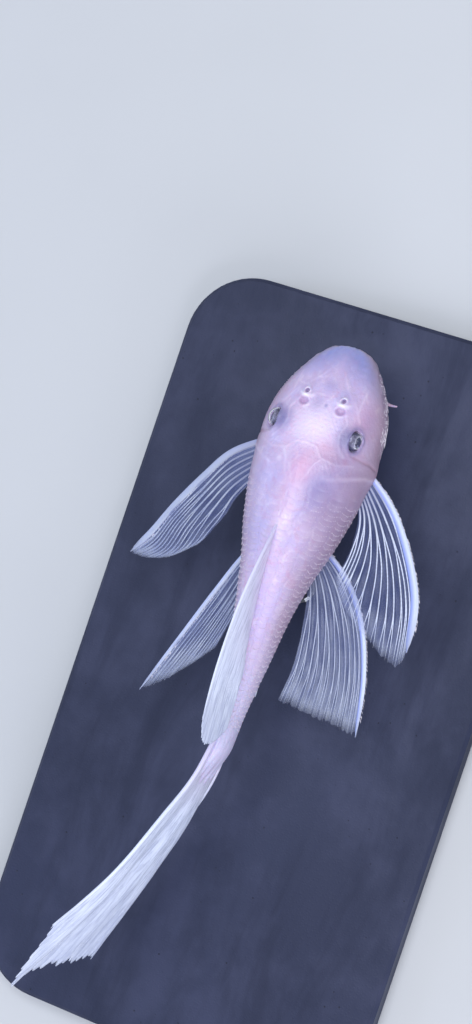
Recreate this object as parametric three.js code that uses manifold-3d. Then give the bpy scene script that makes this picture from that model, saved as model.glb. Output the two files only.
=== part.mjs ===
// A long-finned bristlenose pleco at life size, swimming level on a flat display base with two rods.
// Millimetres: +X towards the head, +Y to the fish's left, +Z up, origin under the middle of the base.
import * as THREE from 'three';
import { mergeVertices } from 'three/addons/utils/BufferGeometryUtils.js';
import Module from 'manifold-3d';

const wasm = await Module();
wasm.setup();

// Driving dimensions of the fish
const STANDARD_LENGTH = 80;
const SNOUT_X = 68;
const BELLY_Z = 23;
const GAP = 0.3;
const BODY_CLEARANCE = 0.35;
const TAIL_BASE_X = SNOUT_X - STANDARD_LENGTH;
const TAIL_BEND = 1.3;
const BEND_START_X = 20;
const EYE = { x: 50.2, y: 7.6, z: 32.6, radius: 2.3 };
const NOSTRIL = { x: 56.8, y: 3.8, radius: 0.95, depth: 1.1 };
const MOUTH = { x: 60.4, length: 9.2, width: 11.4, bottom: 21.9, top: 24.4 };

// Driving dimensions of the stand
const BASE = { length: 156, width: 84, height: 6, corner: 14, chamfer: 0.8 };
const ROD = {
  radius: 1.2, frontX: 38, rearX: 20, socketDepth: 3, collarRadius: 2.9, collarHeight: 1.2, collarSlope: 0.6,
  saddleRadius: 2.1, saddleHeight: 1.2, saddleSlope: 0.8, seat: 1,
};
const ROD_SIDES = 14;

// Colours and finishes
const FLESH = { color: 0xd9b9c9, roughness: 0.45, metalness: 0 };
const FIN = { color: 0xc9d0ee, roughness: 0.35, metalness: 0 };
const EYE_DARK = { color: 0x23232e, roughness: 0.12, metalness: 0 };
const LIP = { color: 0xe6b7bd, roughness: 0.5, metalness: 0 };
const SLATE = { color: 0x30394e, roughness: 0.5, metalness: 0 };
const STEEL = { color: 0xb9bdc4, roughness: 0.3, metalness: 1 };

const part = new THREE.Group();

// Closed shapes and their joins
const MERGE_DISTANCE = 1e-5;

function solidOf(geometry) {
  const bare = geometry.clone();
  bare.deleteAttribute('normal');
  bare.deleteAttribute('uv');
  const merged = mergeVertices(bare, MERGE_DISTANCE);
  return new wasm.Manifold(new wasm.Mesh({
    numProp: 3,
    vertProperties: merged.attributes.position.array,
    triVerts: new Uint32Array(merged.index.array),
  }));
}

function solidFrom(positions, faces) {
  const geometry = new THREE.BufferGeometry();
  geometry.setAttribute('position', new THREE.BufferAttribute(new Float32Array(positions), 3));
  geometry.setIndex(faces);
  return solidOf(geometry);
}

function largestOf(solid) {
  return solid.decompose().reduce((best, piece) => (piece.volume() > best.volume() ? piece : best));
}

function addNode(name, finish, solid) {
  const mesh = largestOf(solid).getMesh();
  const geometry = new THREE.BufferGeometry();
  geometry.setAttribute('position', new THREE.BufferAttribute(new Float32Array(mesh.vertProperties), 3));
  geometry.setIndex(new THREE.BufferAttribute(new Uint32Array(mesh.triVerts), 1));
  geometry.computeVertexNormals();
  const node = new THREE.Mesh(geometry, new THREE.MeshStandardMaterial(finish));
  node.name = name;
  part.add(node);
}

// A smooth curve through [distance behind the snout, value] pairs that never overshoots them
function profile(knots) {
  const rise = knots.slice(1).map(([s, value], i) => (value - knots[i][1]) / (s - knots[i][0]));
  const slopes = knots.map((_, i) => {
    const before = rise[Math.max(i - 1, 0)];
    const after = rise[Math.min(i, rise.length - 1)];
    return before * after > 0 ? (2 * before * after) / (before + after) : 0;
  });
  return (s) => {
    const last = knots.length - 1;
    const at = THREE.MathUtils.clamp(s, knots[0][0], knots[last][0]);
    const i = Math.max(0, Math.min(last - 1, knots.findIndex(([end]) => end > at) - 1));
    const from = at >= knots[last][0] ? last - 1 : i;
    const span = knots[from + 1][0] - knots[from][0];
    const t = (at - knots[from][0]) / span;
    const ease = t * t * (3 - 2 * t);
    return knots[from][1] * (1 - ease) + knots[from + 1][1] * ease
      + span * (slopes[from] * t * (1 - t) ** 2 - slopes[from + 1] * t * t * (1 - t));
  };
}

// The body's sections: half width, and heights of the back, belly and widest level above BELLY_Z
const halfWidth = profile([
  [0, 0], [0.4, 2.4], [1.5, 4.7], [3.5, 6.5], [6.5, 8.5], [10, 10.3], [14, 11.5], [20, 11.9],
  [26, 11.6], [30, 11.1], [38, 9.4], [46, 7.05], [54, 5.35], [62, 4.2], [70, 2.9], [76, 2.1], [80, 1.9],
]);
const backHeight = profile([
  [0, 2.8], [0.4, 4.1], [1.5, 5.5], [4, 7.5], [8, 9.5], [12, 11.1], [16, 12.3], [20, 13.1],
  [26, 13.9], [37, 14.8], [45, 14], [55, 12.4], [65, 11.1], [73, 10.5], [80, 10.8],
]);
const bellyHeight = profile([
  [0, 2.8], [0.4, 1.5], [1.5, 0.8], [3.5, 0.3], [8, 0], [46, 0], [60, 1.1], [72, 2.3], [80, 2.3],
]);
const widestHeight = profile([[0, 2.8], [5, 2.7], [15, 3.6], [30, 4.5], [45, 5.1], [60, 5.6], [80, 6.4]]);
const roofPower = profile([[0, 2.4], [12, 2.15], [30, 1.9], [45, 1.75], [62, 1.9], [80, 2.2]]);
const bellyPower = profile([[0, 2.4], [6, 3.2], [20, 3.8], [45, 3.6], [62, 2.6], [80, 2.2]]);
const ROOF_SHARE = 0.68;

function spineY(x) {
  const t = THREE.MathUtils.clamp((BEND_START_X - x) / (BEND_START_X - TAIL_BASE_X), 0, 1);
  return -TAIL_BEND * t * t * (3 - 2 * t);
}

// One side's skin: t runs from 0 on the back to 1 under the belly
function sidePoint(s, t) {
  const roof = t <= ROOF_SHARE;
  const share = roof ? t / ROOF_SHARE : (t - ROOF_SHARE) / (1 - ROOF_SHARE);
  const power = 2 / (roof ? roofPower(s) : bellyPower(s));
  const down = Math.max(Math.cos(share * Math.PI / 2), 0) ** power;
  const out = Math.sin(share * Math.PI / 2) ** power;
  const level = widestHeight(s);
  const y = halfWidth(s) * (roof ? out : down);
  const z = roof ? level + (backHeight(s) - level) * down : level - (level - bellyHeight(s)) * out;
  return new THREE.Vector3(SNOUT_X - s, y, BELLY_Z + z);
}

const PROBE = { s: 0.06, t: 0.004 };

function sideNormal(s, t) {
  const along = sidePoint(s + PROBE.s, t).sub(sidePoint(Math.max(s - PROBE.s, 0), t));
  const across = sidePoint(s, Math.min(t + PROBE.t, 1)).sub(sidePoint(s, Math.max(t - PROBE.t, 0)));
  const normal = across.cross(along);
  if (t === 0 || t === 1) normal.y = 0;
  return normal.normalize();
}

// Soft swellings of the head: brow over each eye, nostril, and the temple behind the eye
const SWELLINGS = [
  { x: EYE.x, y: 7.9, radius: 3.4, height: 0.75 },
  { x: NOSTRIL.x, y: NOSTRIL.y, radius: 1.9, height: 0.4 },
  { x: 42.5, y: 6, radius: 3.6, height: 0.4 },
  { x: 43, y: 0, radius: 3, height: 0.35 },
];

function swelling(point) {
  return SWELLINGS.reduce((sum, { x, y, radius, height }) => {
    const square = (point.x - x) ** 2 + (Math.abs(point.y) - y) ** 2;
    return sum + height * Math.exp(-square / radius ** 2);
  }, 0);
}

// Bony plates: rows along each side, each plate rising to its rear edge over the next one
const PLATES = {
  start: 28.4, count: 17, rows: 4, end: 0.78, relief: 0.36,
  bow: 0.45, bowMiddle: 0.4, step: 0.3, crestFrom: 0.2, crestTo: 0.75,
};
const HEAD_STATIONS = [
  0.35, 1, 2, 3.4, 5, 6.8, 8.6, 10.4, 12.2, 14, 15.6, 17.2, 18.8, 20.4, 22, 23.6, 25.2, 26.8,
];
const BELLY_STEPS = 4;

function plateStations() {
  const pitch = (STANDARD_LENGTH - PLATES.start) / PLATES.count;
  const stations = [];
  for (let plate = 0; plate < PLATES.count; plate += 1) {
    const front = PLATES.start + plate * pitch;
    stations.push({ s: front, lift: 0 });
    stations.push({ s: front + pitch - PLATES.step, lift: 1 });
  }
  return stations;
}

function ringSteps() {
  const row = PLATES.end / PLATES.rows;
  const steps = [];
  for (let r = 0; r < PLATES.rows; r += 1) {
    steps.push({ t: r * row, lift: 0 });
    steps.push({ t: (r + PLATES.crestFrom) * row, lift: 1 }, { t: (r + PLATES.crestTo) * row, lift: 1 });
  }
  for (let b = 0; b <= BELLY_STEPS; b += 1) {
    steps.push({ t: PLATES.end + (1 - PLATES.end) * (b / BELLY_STEPS), lift: 0 });
  }
  return steps;
}

const TAIL_CAP = 0.3;

// The whole body as one closed skin, swollen outwards by an offset
function bodySolid(offset) {
  const stations = [...HEAD_STATIONS.map((s) => ({ s, lift: 0 })), ...plateStations()];
  const steps = ringSteps();
  const ringSize = 2 * (steps.length - 1);
  const positions = [SNOUT_X + offset, 0, BELLY_Z + backHeight(0)];
  stations.forEach((station, index) => {
    const rear = index === stations.length - 1 ? offset : 0;
    const corner = (step) => {
      const s = station.s + PLATES.bow * station.lift * (step.lift - PLATES.bowMiddle);
      const point = sidePoint(s, step.t);
      const roofOnly = step.t < ROOF_SHARE ? swelling(point) : 0;
      const height = offset + roofOnly + PLATES.relief * station.lift * step.lift;
      return point.addScaledVector(sideNormal(s, step.t), height).setX(point.x - rear);
    };
    const left = steps.map(corner);
    const right = left.slice(1, -1).reverse().map((point) => point.clone().setY(-point.y));
    [...left, ...right].forEach((point) => positions.push(point.x, point.y + spineY(point.x), point.z));
  });
  const endX = TAIL_BASE_X - offset;
  positions.push(endX - TAIL_CAP, spineY(endX), BELLY_Z + widestHeight(STANDARD_LENGTH));
  const faces = [];
  const at = (ring, i) => 1 + ring * ringSize + (i % ringSize);
  for (let i = 0; i < ringSize; i += 1) {
    faces.push(0, at(0, i + 1), at(0, i));
    for (let ring = 0; ring < stations.length - 1; ring += 1) {
      faces.push(at(ring, i), at(ring, i + 1), at(ring + 1, i));
      faces.push(at(ring, i + 1), at(ring + 1, i + 1), at(ring + 1, i));
    }
    faces.push(at(stations.length - 1, i), at(stations.length - 1, i + 1), positions.length / 3 - 1);
  }
  return solidFrom(positions, faces);
}

const body = bodySolid(0);
const bodyRoom = bodySolid(BODY_CLEARANCE);

// Fins: guide rays from front to rear, each a list of points from the root to the tip
function finRays(guides) {
  const levels = guides[0].map((_, level) => (
    new THREE.CatmullRomCurve3(guides.map((guide) => new THREE.Vector3(...guide[level])))));
  return (u) => new THREE.CatmullRomCurve3(levels.map((level) => level.getPoint(u)));
}

const SPINE_PLACE = 0.35;
const FIN_PROBE = 0.02;
const TIP = { thickness: 0.5, ease: 1.5 };

function taper(thick, v) {
  return THREE.MathUtils.lerp(thick, Math.min(thick, TIP.thickness), v ** TIP.ease);
}

// A fin's two faces carry the same grid; every second column is a ray that stands proud of the membrane
function finSolid({ guides, rays, rows, ray, membrane, spine, notch }) {
  const rayAt = finRays(guides);
  const columns = [];
  for (let i = 0; i <= 2 * rays; i += 1) {
    const isRay = i % 2 === 1;
    const u = i === 1 ? SPINE_PLACE / rays : i / (2 * rays);
    const thick = isRay ? (i === 1 ? spine : ray) : membrane;
    columns.push({ u, thick, reach: isRay ? 1 : 1 - notch });
  }
  const positions = [];
  const pointAt = (u, v) => rayAt(THREE.MathUtils.clamp(u, 0, 1)).getPoint(THREE.MathUtils.clamp(v, 0, 1));
  columns.forEach(({ u, thick, reach }) => {
    for (let row = 0; row <= rows; row += 1) {
      const v = (reach * row) / rows;
      const point = pointAt(u, v);
      const along = pointAt(u, v + FIN_PROBE).sub(pointAt(u, v - FIN_PROBE));
      const across = pointAt(u + FIN_PROBE, v).sub(pointAt(u - FIN_PROBE, v));
      const half = along.cross(across).normalize().multiplyScalar(taper(thick, v) / 2);
      const above = point.clone().add(half);
      const below = point.clone().sub(half);
      positions.push(above.x, above.y, above.z, below.x, below.y, below.z);
    }
  });
  return solidFrom(positions, sheetFaces(columns.length, rows + 1));
}

function sheetFaces(columns, rows) {
  const upper = (i, j) => 2 * (i * rows + j);
  const lower = (i, j) => upper(i, j) + 1;
  const faces = [];
  const quad = (a, b, c, d) => faces.push(a, b, c, a, c, d);
  for (let i = 0; i < columns - 1; i += 1) {
    for (let j = 0; j < rows - 1; j += 1) {
      quad(upper(i, j), upper(i, j + 1), upper(i + 1, j + 1), upper(i + 1, j));
      faces.push(lower(i, j), lower(i + 1, j + 1), lower(i, j + 1));
      faces.push(lower(i, j), lower(i + 1, j), lower(i + 1, j + 1));
    }
    quad(upper(i, 0), upper(i + 1, 0), lower(i + 1, 0), lower(i, 0));
    quad(upper(i + 1, rows - 1), upper(i, rows - 1), lower(i, rows - 1), lower(i + 1, rows - 1));
  }
  for (let j = 0; j < rows - 1; j += 1) {
    quad(upper(0, j + 1), upper(0, j), lower(0, j), lower(0, j + 1));
    quad(upper(columns - 1, j), upper(columns - 1, j + 1), lower(columns - 1, j + 1), lower(columns - 1, j));
  }
  return faces;
}

function addFin(name, fin) {
  addNode(name, FIN, finSolid(fin).subtract(bodyRoom));
}

const FIN_SINK = 1.6;
const backAt = (x, lift) => [x, spineY(x), BELLY_Z + backHeight(SNOUT_X - x) + lift];

addFin('dorsal_fin', {
  rays: 9,
  rows: 12,
  ray: 0.9,
  membrane: 0.5,
  spine: 1.2,
  notch: 0.02,
  guides: [
    [backAt(32.6, -FIN_SINK), [25, -0.3, 41.4], [14.6, -0.2, 45], [2.4, -0.6, 47], [-12, -1.3, 46]],
    [backAt(26, -FIN_SINK), [18.6, -0.8, 40.2], [9.6, -1.2, 43], [-0.5, -1.5, 44.3], [-12.6, -1.8, 43.3]],
    [backAt(18, -FIN_SINK), [12.6, -1.5, 38.6], [5.6, -2.1, 40.2], [-2.5, -2.3, 40.6], [-12.1, -2.6, 39.6]],
    [backAt(10.4, -FIN_SINK), [7, -1.9, 36.7], [1.5, -2.9, 36.8], [-4.5, -3.1, 36.4], [-11, -3.2, 35.6]],
  ],
});

addFin('adipose_fin', {
  rays: 2,
  rows: 5,
  ray: 0.8,
  membrane: 0.6,
  spine: 1,
  notch: 0,
  guides: [
    [backAt(4.2, -1.2), backAt(2.6, 0.5), backAt(1, 1.5), backAt(-0.6, 2)],
    [backAt(0.6, -1.2), backAt(-0.4, 0), backAt(-1.2, 0.9), backAt(-1.6, 1.6)],
    [backAt(-2.6, -1.2), backAt(-2.6, -0.4), backAt(-2.7, 0.2), backAt(-2.8, 0.7)],
  ],
});

addFin('anal_fin', {
  rays: 5,
  rows: 8,
  ray: 0.85,
  membrane: 0.5,
  spine: 1,
  notch: 0.03,
  guides: [
    [[15.4, 0, 25], [12, -0.2, 21.6], [6, -0.6, 18.9], [-3, -1.1, 17.2]],
    [[13, -0.1, 25], [10, -0.3, 22.2], [4.5, -0.7, 19.9], [-2.8, -1.2, 18.6]],
    [[10.6, -0.2, 25.2], [8, -0.4, 23], [4, -0.8, 21.6], [-1, -1.2, 20.6]],
  ],
});

addFin('caudal_fin', {
  rays: 14,
  rows: 15,
  ray: 0.9,
  membrane: 0.5,
  spine: 1.3,
  notch: 0.03,
  guides: [
    [[-10, -1.1, 33.6], [-19.6, -0.1, 36.6], [-28.7, 3, 39.5], [-40.9, 7.9, 42], [-53.7, 15.2, 44]],
    [[-10, -1.2, 32], [-19.9, -0.3, 34], [-31, 2.9, 36], [-47, 8.6, 37.5], [-70.4, 21.3, 38]],
    [[-10, -1.3, 29.8], [-20.2, -0.5, 30.3], [-30.8, 1.9, 30.5], [-44.8, 7.1, 30], [-65.6, 16.7, 29.2]],
    [[-10, -1.3, 27.6], [-19.9, -0.5, 27], [-29.4, 1.9, 25.5], [-43.3, 7, 23.5], [-62.4, 14.3, 21]],
    [[-10, -1.3, 26], [-19.4, -0.4, 23.5], [-28.8, 2.4, 20], [-41.4, 7.8, 17], [-63.8, 13.6, 14]],
  ],
});

const PAIRED = { ray: 0.9, membrane: 0.5, spine: 1.5, notch: 0.03 };

addFin('pectoral_fin_right', {
  ...PAIRED,
  rays: 12,
  rows: 12,
  guides: [
    [[46.6, -9.6, 26], [41.2, -17, 25.6], [34.2, -22.6, 25], [25.5, -27.2, 24.4], [16, -28.7, 23.9]],
    [[45.4, -9.5, 26], [38.8, -16.2, 25.5], [31.4, -21.7, 24.9], [22.4, -25.8, 24.4], [12, -27.6, 23.8]],
    [[44.2, -9.3, 26], [36.8, -15.2, 25.5], [29.2, -18.8, 25], [21.6, -20.6, 24.6], [14.4, -21.6, 24.3]],
    [[43, -9.1, 26], [37.4, -12.9, 25.6], [31.4, -14.2, 25.3], [25.6, -14, 25.1], [20.4, -13.2, 24.9]],
    [[41.8, -9, 26], [37.2, -11.4, 25.6], [32.6, -12, 25.4], [28.4, -11.8, 25.3], [24.6, -11, 25.3]],
  ],
});

addFin('pectoral_fin_left', {
  ...PAIRED,
  rays: 12,
  rows: 12,
  guides: [
    [
      [46.8, 10, 26], [41.5, 17.2, 25.4], [35.7, 21.2, 24.8],
      [28.5, 25.3, 24.1], [21.3, 28.8, 23.3], [16.2, 31.7, 22.6],
    ],
    [
      [45.2, 9.8, 26], [39.6, 16.7, 25.4], [32.8, 20.6, 24.8],
      [25.6, 24.5, 24.1], [19.3, 27.2, 23.4], [15.9, 30.6, 22.8],
    ],
    [
      [43.6, 9.6, 26], [37.3, 15.9, 25.4], [31.3, 19.4, 24.9],
      [24.7, 22.5, 24.3], [18.9, 24.6, 23.7], [16.1, 27.6, 23.2],
    ],
    [
      [42, 9.4, 26], [35.4, 14.9, 25.5], [30.3, 17.4, 25.1],
      [24.8, 19.6, 24.6], [20.2, 21.2, 24.1], [17.6, 23.3, 23.7],
    ],
    [
      [40.4, 9.2, 26], [33.2, 13.1, 25.6], [29.4, 14.2, 25.3],
      [26.3, 15.6, 25], [23.8, 16.8, 24.7], [21.8, 18.1, 24.4],
    ],
  ],
});

addFin('pelvic_fin_right', {
  ...PAIRED,
  rays: 9,
  rows: 11,
  guides: [
    [[31, -3.4, 24], [25.6, -11.6, 21.9], [18.6, -17.4, 21.2], [8, -21.6, 20.4], [-3.5, -23.7, 19.8]],
    [[30, -3.4, 24], [23.4, -9.8, 21.9], [16, -14.4, 21.3], [6.4, -17.9, 20.6], [-3.1, -19.2, 20]],
    [[29, -3.3, 24], [22, -7.6, 21.9], [14.6, -10.8, 21.4], [6, -13, 20.8], [-2.6, -13.4, 20.3]],
    [[28, -3.2, 24], [20.8, -5.4, 21.9], [13.6, -6.8, 21.5], [5.6, -7.4, 21], [-2, -6.6, 20.6]],
  ],
});

addFin('pelvic_fin_left', {
  ...PAIRED,
  rays: 9,
  rows: 11,
  guides: [
    [[31, 3.4, 24], [23.6, 8.8, 21.9], [14.4, 12.6, 21.5], [3.2, 16.8, 20.8], [-9.5, 21.6, 19.9]],
    [[30, 3.4, 24], [22, 7.6, 21.9], [12.8, 10.4, 21.5], [3, 14, 20.8], [-6.8, 17.9, 20.1]],
    [[29, 3.3, 24], [21, 6.4, 21.9], [12.6, 8.6, 21.5], [4.2, 11.2, 20.9], [-2.2, 13.6, 20.4]],
    [[28, 3.2, 24], [20.4, 5.2, 21.9], [14, 6.6, 21.5], [8.4, 7.8, 21.1], [3.4, 9, 20.7]],
  ],
});

// Mouth: a round sucker under the snout, with a wide rear lip, a raised rim and a barbel at each corner
const MOUTH_SIDES = 24;
const MOUTH_RINGS = [
  { size: 0.9, z: MOUTH.top, shift: 0 },
  { size: 0.94, z: MOUTH.bottom + 0.9, shift: 0 },
  { size: 1, z: MOUTH.bottom + 0.5, shift: 0 },
  { size: 0.96, z: MOUTH.bottom + 0.1, shift: 0 },
  { size: 0.84, z: MOUTH.bottom, shift: 0.1 },
  { size: 0.66, z: MOUTH.bottom + 0.25, shift: 0.5 },
  { size: 0.5, z: MOUTH.bottom + 0.7, shift: 0.9 },
  { size: 0.32, z: MOUTH.bottom + 1.3, shift: 1.1 },
];
const MOUTH_FLOOR_LIFT = 0.1;

function mouthSolid(growth) {
  const positions = [MOUTH.x, 0, MOUTH.top + growth];
  MOUTH_RINGS.forEach(({ size, z, shift }, ring) => {
    for (let i = 0; i < MOUTH_SIDES; i += 1) {
      const angle = (2 * Math.PI * i) / MOUTH_SIDES;
      const reach = size * (1 + (2 * growth) / MOUTH.width);
      const x = MOUTH.x + shift + (MOUTH.length / 2) * reach * Math.cos(angle);
      const y = (MOUTH.width / 2) * reach * Math.sin(angle);
      positions.push(x, y, z + (ring === 0 ? growth : 0) - (ring > 1 ? growth : 0));
    }
  });
  const last = MOUTH_RINGS.length - 1;
  positions.push(MOUTH.x + MOUTH_RINGS[last].shift, 0, MOUTH_RINGS[last].z - growth + MOUTH_FLOOR_LIFT);
  const faces = [];
  const at = (ring, i) => 1 + ring * MOUTH_SIDES + (i % MOUTH_SIDES);
  for (let i = 0; i < MOUTH_SIDES; i += 1) {
    faces.push(0, at(0, i), at(0, i + 1));
    for (let ring = 0; ring < last; ring += 1) {
      faces.push(at(ring, i), at(ring + 1, i), at(ring, i + 1));
      faces.push(at(ring, i + 1), at(ring + 1, i), at(ring + 1, i + 1));
    }
    faces.push(at(last, i + 1), at(last, i), positions.length / 3 - 1);
  }
  return solidFrom(positions, faces);
}

// A rod of few sides that thins along a curve, closed at both ends
function taperedRod(points, radii, sides, steps) {
  const curve = new THREE.CatmullRomCurve3(points.map((point) => new THREE.Vector3(...point)));
  const frames = curve.computeFrenetFrames(steps, false);
  const positions = [];
  for (let i = 0; i <= steps; i += 1) {
    const centre = curve.getPointAt(i / steps);
    const radius = THREE.MathUtils.lerp(radii[0], radii[1], i / steps);
    for (let j = 0; j < sides; j += 1) {
      const angle = (2 * Math.PI * j) / sides;
      const point = centre.clone()
        .addScaledVector(frames.normals[i], radius * Math.cos(angle))
        .addScaledVector(frames.binormals[i], radius * Math.sin(angle));
      positions.push(point.x, point.y, point.z);
    }
  }
  const faces = [];
  const at = (i, j) => i * sides + (j % sides);
  for (let j = 0; j < sides; j += 1) {
    for (let i = 0; i < steps; i += 1) {
      faces.push(at(i, j), at(i, j + 1), at(i + 1, j));
      faces.push(at(i, j + 1), at(i + 1, j + 1), at(i + 1, j));
    }
    if (j > 1) {
      faces.push(at(0, 0), at(0, j), at(0, j - 1));
      faces.push(at(steps, 0), at(steps, j - 1), at(steps, j));
    }
  }
  return solidFrom(positions, faces);
}

const BARBEL = {
  points: [[60.4, 4.6, 22.5], [60.2, 7, 22.1], [59.6, 9.4, 22.3], [59.7, 11, 22.7]],
  radii: [0.5, 0.16],
  sides: 8,
  steps: 8,
};

function barbel(side) {
  const points = BARBEL.points.map(([x, y, z]) => [x, y * side, z]);
  return taperedRod(points, BARBEL.radii, BARBEL.sides, BARBEL.steps);
}

const mouth = mouthSolid(0).add(barbel(1)).add(barbel(-1));
addNode('mouth', LIP, mouth);

// Eyes, each a ball sunk in its socket, seen inside a raised rim
const EYE_TILT = 0.6;
const EYE_SEGMENTS = 16;
const ORBIT_RIM = { clearance: 0.35, thickness: 0.42, lift: 0.85, sides: 5 };

function eyeBall(side, radius) {
  const ball = new THREE.SphereGeometry(radius, EYE_SEGMENTS, EYE_SEGMENTS / 2);
  ball.rotateX(Math.PI / 2 - side * EYE_TILT);
  return solidOf(ball.translate(EYE.x, spineY(EYE.x) + side * EYE.y, EYE.z));
}

function orbitRim(side) {
  const { clearance, thickness, lift, sides } = ORBIT_RIM;
  const rim = new THREE.TorusGeometry(EYE.radius + clearance, thickness, sides, EYE_SEGMENTS);
  rim.rotateX(-side * EYE_TILT);
  const outward = EYE.y + lift * Math.sin(EYE_TILT);
  return solidOf(rim.translate(EYE.x, side * outward, EYE.z + lift * Math.cos(EYE_TILT)));
}

// Height of the head's roof over a point, found by halving
const HALVINGS = 30;
function skinTopZ(x, y) {
  const s = SNOUT_X - x;
  let low = 0;
  let high = ROOF_SHARE;
  for (let i = 0; i < HALVINGS; i += 1) {
    const middle = (low + high) / 2;
    if (sidePoint(s, middle).y < Math.abs(y)) low = middle;
    else high = middle;
  }
  const point = sidePoint(s, low);
  return point.z + swelling(point);
}

// Each nostril: a raised collar round a pit that a flap parts into a front and a rear opening
const NOSTRIL_Z = skinTopZ(NOSTRIL.x, NOSTRIL.y);
const COLLAR = { thickness: 0.32, length: 1.15, width: 0.95, lift: 0.12, sides: 5, segments: 12 };
const FLAP = { length: 0.34, width: 0.85, behind: 0.25, lift: 0.1, segments: 8, rings: 6 };
const PIT = { rim: 0.3, floorRadius: 0.4, above: 0.6, segments: 12 };

function nostrilCollar(side) {
  const ring = new THREE.TorusGeometry(NOSTRIL.radius, COLLAR.thickness, COLLAR.sides, COLLAR.segments);
  ring.scale(COLLAR.length, COLLAR.width, 1);
  return solidOf(ring.translate(NOSTRIL.x, side * NOSTRIL.y, NOSTRIL_Z + COLLAR.lift));
}

function nostrilFlap(side) {
  const flap = new THREE.SphereGeometry(NOSTRIL.radius, FLAP.segments, FLAP.rings);
  flap.scale(FLAP.length, FLAP.width, FLAP.width);
  return solidOf(flap.translate(NOSTRIL.x - FLAP.behind, side * NOSTRIL.y, NOSTRIL_Z + FLAP.lift));
}

function nostrilPit(side) {
  const height = NOSTRIL.depth + PIT.above;
  const pit = new THREE.CylinderGeometry(NOSTRIL.radius - PIT.rim, PIT.floorRadius, height, PIT.segments);
  pit.rotateX(Math.PI / 2);
  return solidOf(pit.translate(NOSTRIL.x, side * NOSTRIL.y, NOSTRIL_Z + PIT.above - height / 2));
}

// Short hooked spines in a patch on each cheek, leaning out and back
const CHEEK_SPINES = {
  rows: 3, perRow: 5, front: 10.6, pitch: 1.15, top: ROOF_SHARE - 0.07, rowStep: 0.055, uneven: 0.3,
  length: 1.7, lengthRange: [0.75, 1.25], radius: 0.3, tipRadius: 0.06, sunk: 0.7, arch: 0.2,
  sides: 4, steps: 2,
  lean: [-0.9, 0.75, 0.05], rowLean: -0.12,
};

function seededRandom(seed) {
  let state = seed;
  return () => {
    state = (state * 1664525 + 1013904223) % 4294967296;
    return state / 4294967296;
  };
}

function cheekSpines(side, random) {
  const set = CHEEK_SPINES;
  const spines = [];
  for (let row = 0; row < set.rows; row += 1) {
    for (let i = 0; i < set.perRow; i += 1) {
      const s = set.front + set.pitch * (i + 0.5 * (row % 2)) + set.uneven * (random() - 0.5);
      const t = set.top + set.rowStep * row;
      const skin = sidePoint(s, t);
      const outward = sideNormal(s, t);
      const lean = new THREE.Vector3(...set.lean).setZ(set.lean[2] + set.rowLean * row).normalize();
      const root = skin.clone().addScaledVector(outward, -set.sunk);
      const length = set.length * THREE.MathUtils.lerp(...set.lengthRange, random());
      const tip = skin.clone().addScaledVector(lean, length);
      const middle = root.clone().lerp(tip, 0.5).addScaledVector(outward, set.arch);
      const points = [root, middle, tip].map((point) => [point.x, point.y * side, point.z]);
      spines.push(taperedRod(points, [set.radius, set.tipRadius], set.sides, set.steps));
    }
  }
  return spines;
}

// Head, trunk and tail stem: the one body parted by thin cuts
const NECK_CUT = { x: 44.6, z: 30, lean: 0.49 };
const STEM_CUT_X = 8;
const REACH = 60;

function cutSlab(x, z, lean) {
  const slab = new THREE.BoxGeometry(GAP, 2 * REACH, 2 * REACH);
  return solidOf(slab.rotateY(-lean).translate(x, 0, z));
}

const parted = body
  .subtract(cutSlab(NECK_CUT.x, NECK_CUT.z, NECK_CUT.lean))
  .subtract(cutSlab(STEM_CUT_X, BELLY_Z, 0))
  .decompose()
  .sort((a, b) => b.boundingBox().max[0] - a.boundingBox().max[0]);

const random = seededRandom(11);
let head = parted[0];
for (const side of [1, -1]) {
  head = head.add(orbitRim(side)).add(nostrilCollar(side));
  for (const spine of cheekSpines(side, random)) {
    head = head.add(spine);
  }
}
for (const side of [1, -1]) {
  head = head.subtract(eyeBall(side, EYE.radius + GAP)).subtract(nostrilPit(side)).add(nostrilFlap(side));
  addNode(side > 0 ? 'eye_left' : 'eye_right', EYE_DARK, eyeBall(side, EYE.radius));
}
addNode('head', FLESH, head.subtract(mouthSolid(GAP)));
addNode('trunk', FLESH, parted[1]);
addNode('tail_stem', FLESH, parted[2]);

// Stand: a flat base with rounded corners, and two short rods seated in it
function baseSolid() {
  const x = BASE.length / 2 - BASE.chamfer;
  const y = BASE.width / 2 - BASE.chamfer;
  const r = BASE.corner - BASE.chamfer;
  const outline = new THREE.Shape();
  outline.absarc(x - r, y - r, r, 0, Math.PI / 2);
  outline.absarc(r - x, y - r, r, Math.PI / 2, Math.PI);
  outline.absarc(r - x, r - y, r, Math.PI, 1.5 * Math.PI);
  outline.absarc(x - r, r - y, r, 1.5 * Math.PI, 2 * Math.PI);
  const slab = new THREE.ExtrudeGeometry(outline, {
    depth: BASE.height - 2 * BASE.chamfer,
    bevelThickness: BASE.chamfer,
    bevelSize: BASE.chamfer,
    bevelSegments: 1,
    curveSegments: 7,
  });
  return solidOf(slab.translate(0, 0, BASE.chamfer));
}

function turned(profilePoints, x) {
  const lathe = new THREE.LatheGeometry(profilePoints.map(([r, z]) => new THREE.Vector2(r, z)), ROD_SIDES);
  return solidOf(lathe.rotateX(Math.PI / 2).translate(x, 0, 0));
}

function socket(x) {
  const floor = BASE.height - ROD.socketDepth;
  const radius = ROD.radius + GAP;
  return turned([[0, floor], [radius, floor], [radius, BASE.height + 1], [0, BASE.height + 1]], x);
}

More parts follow.
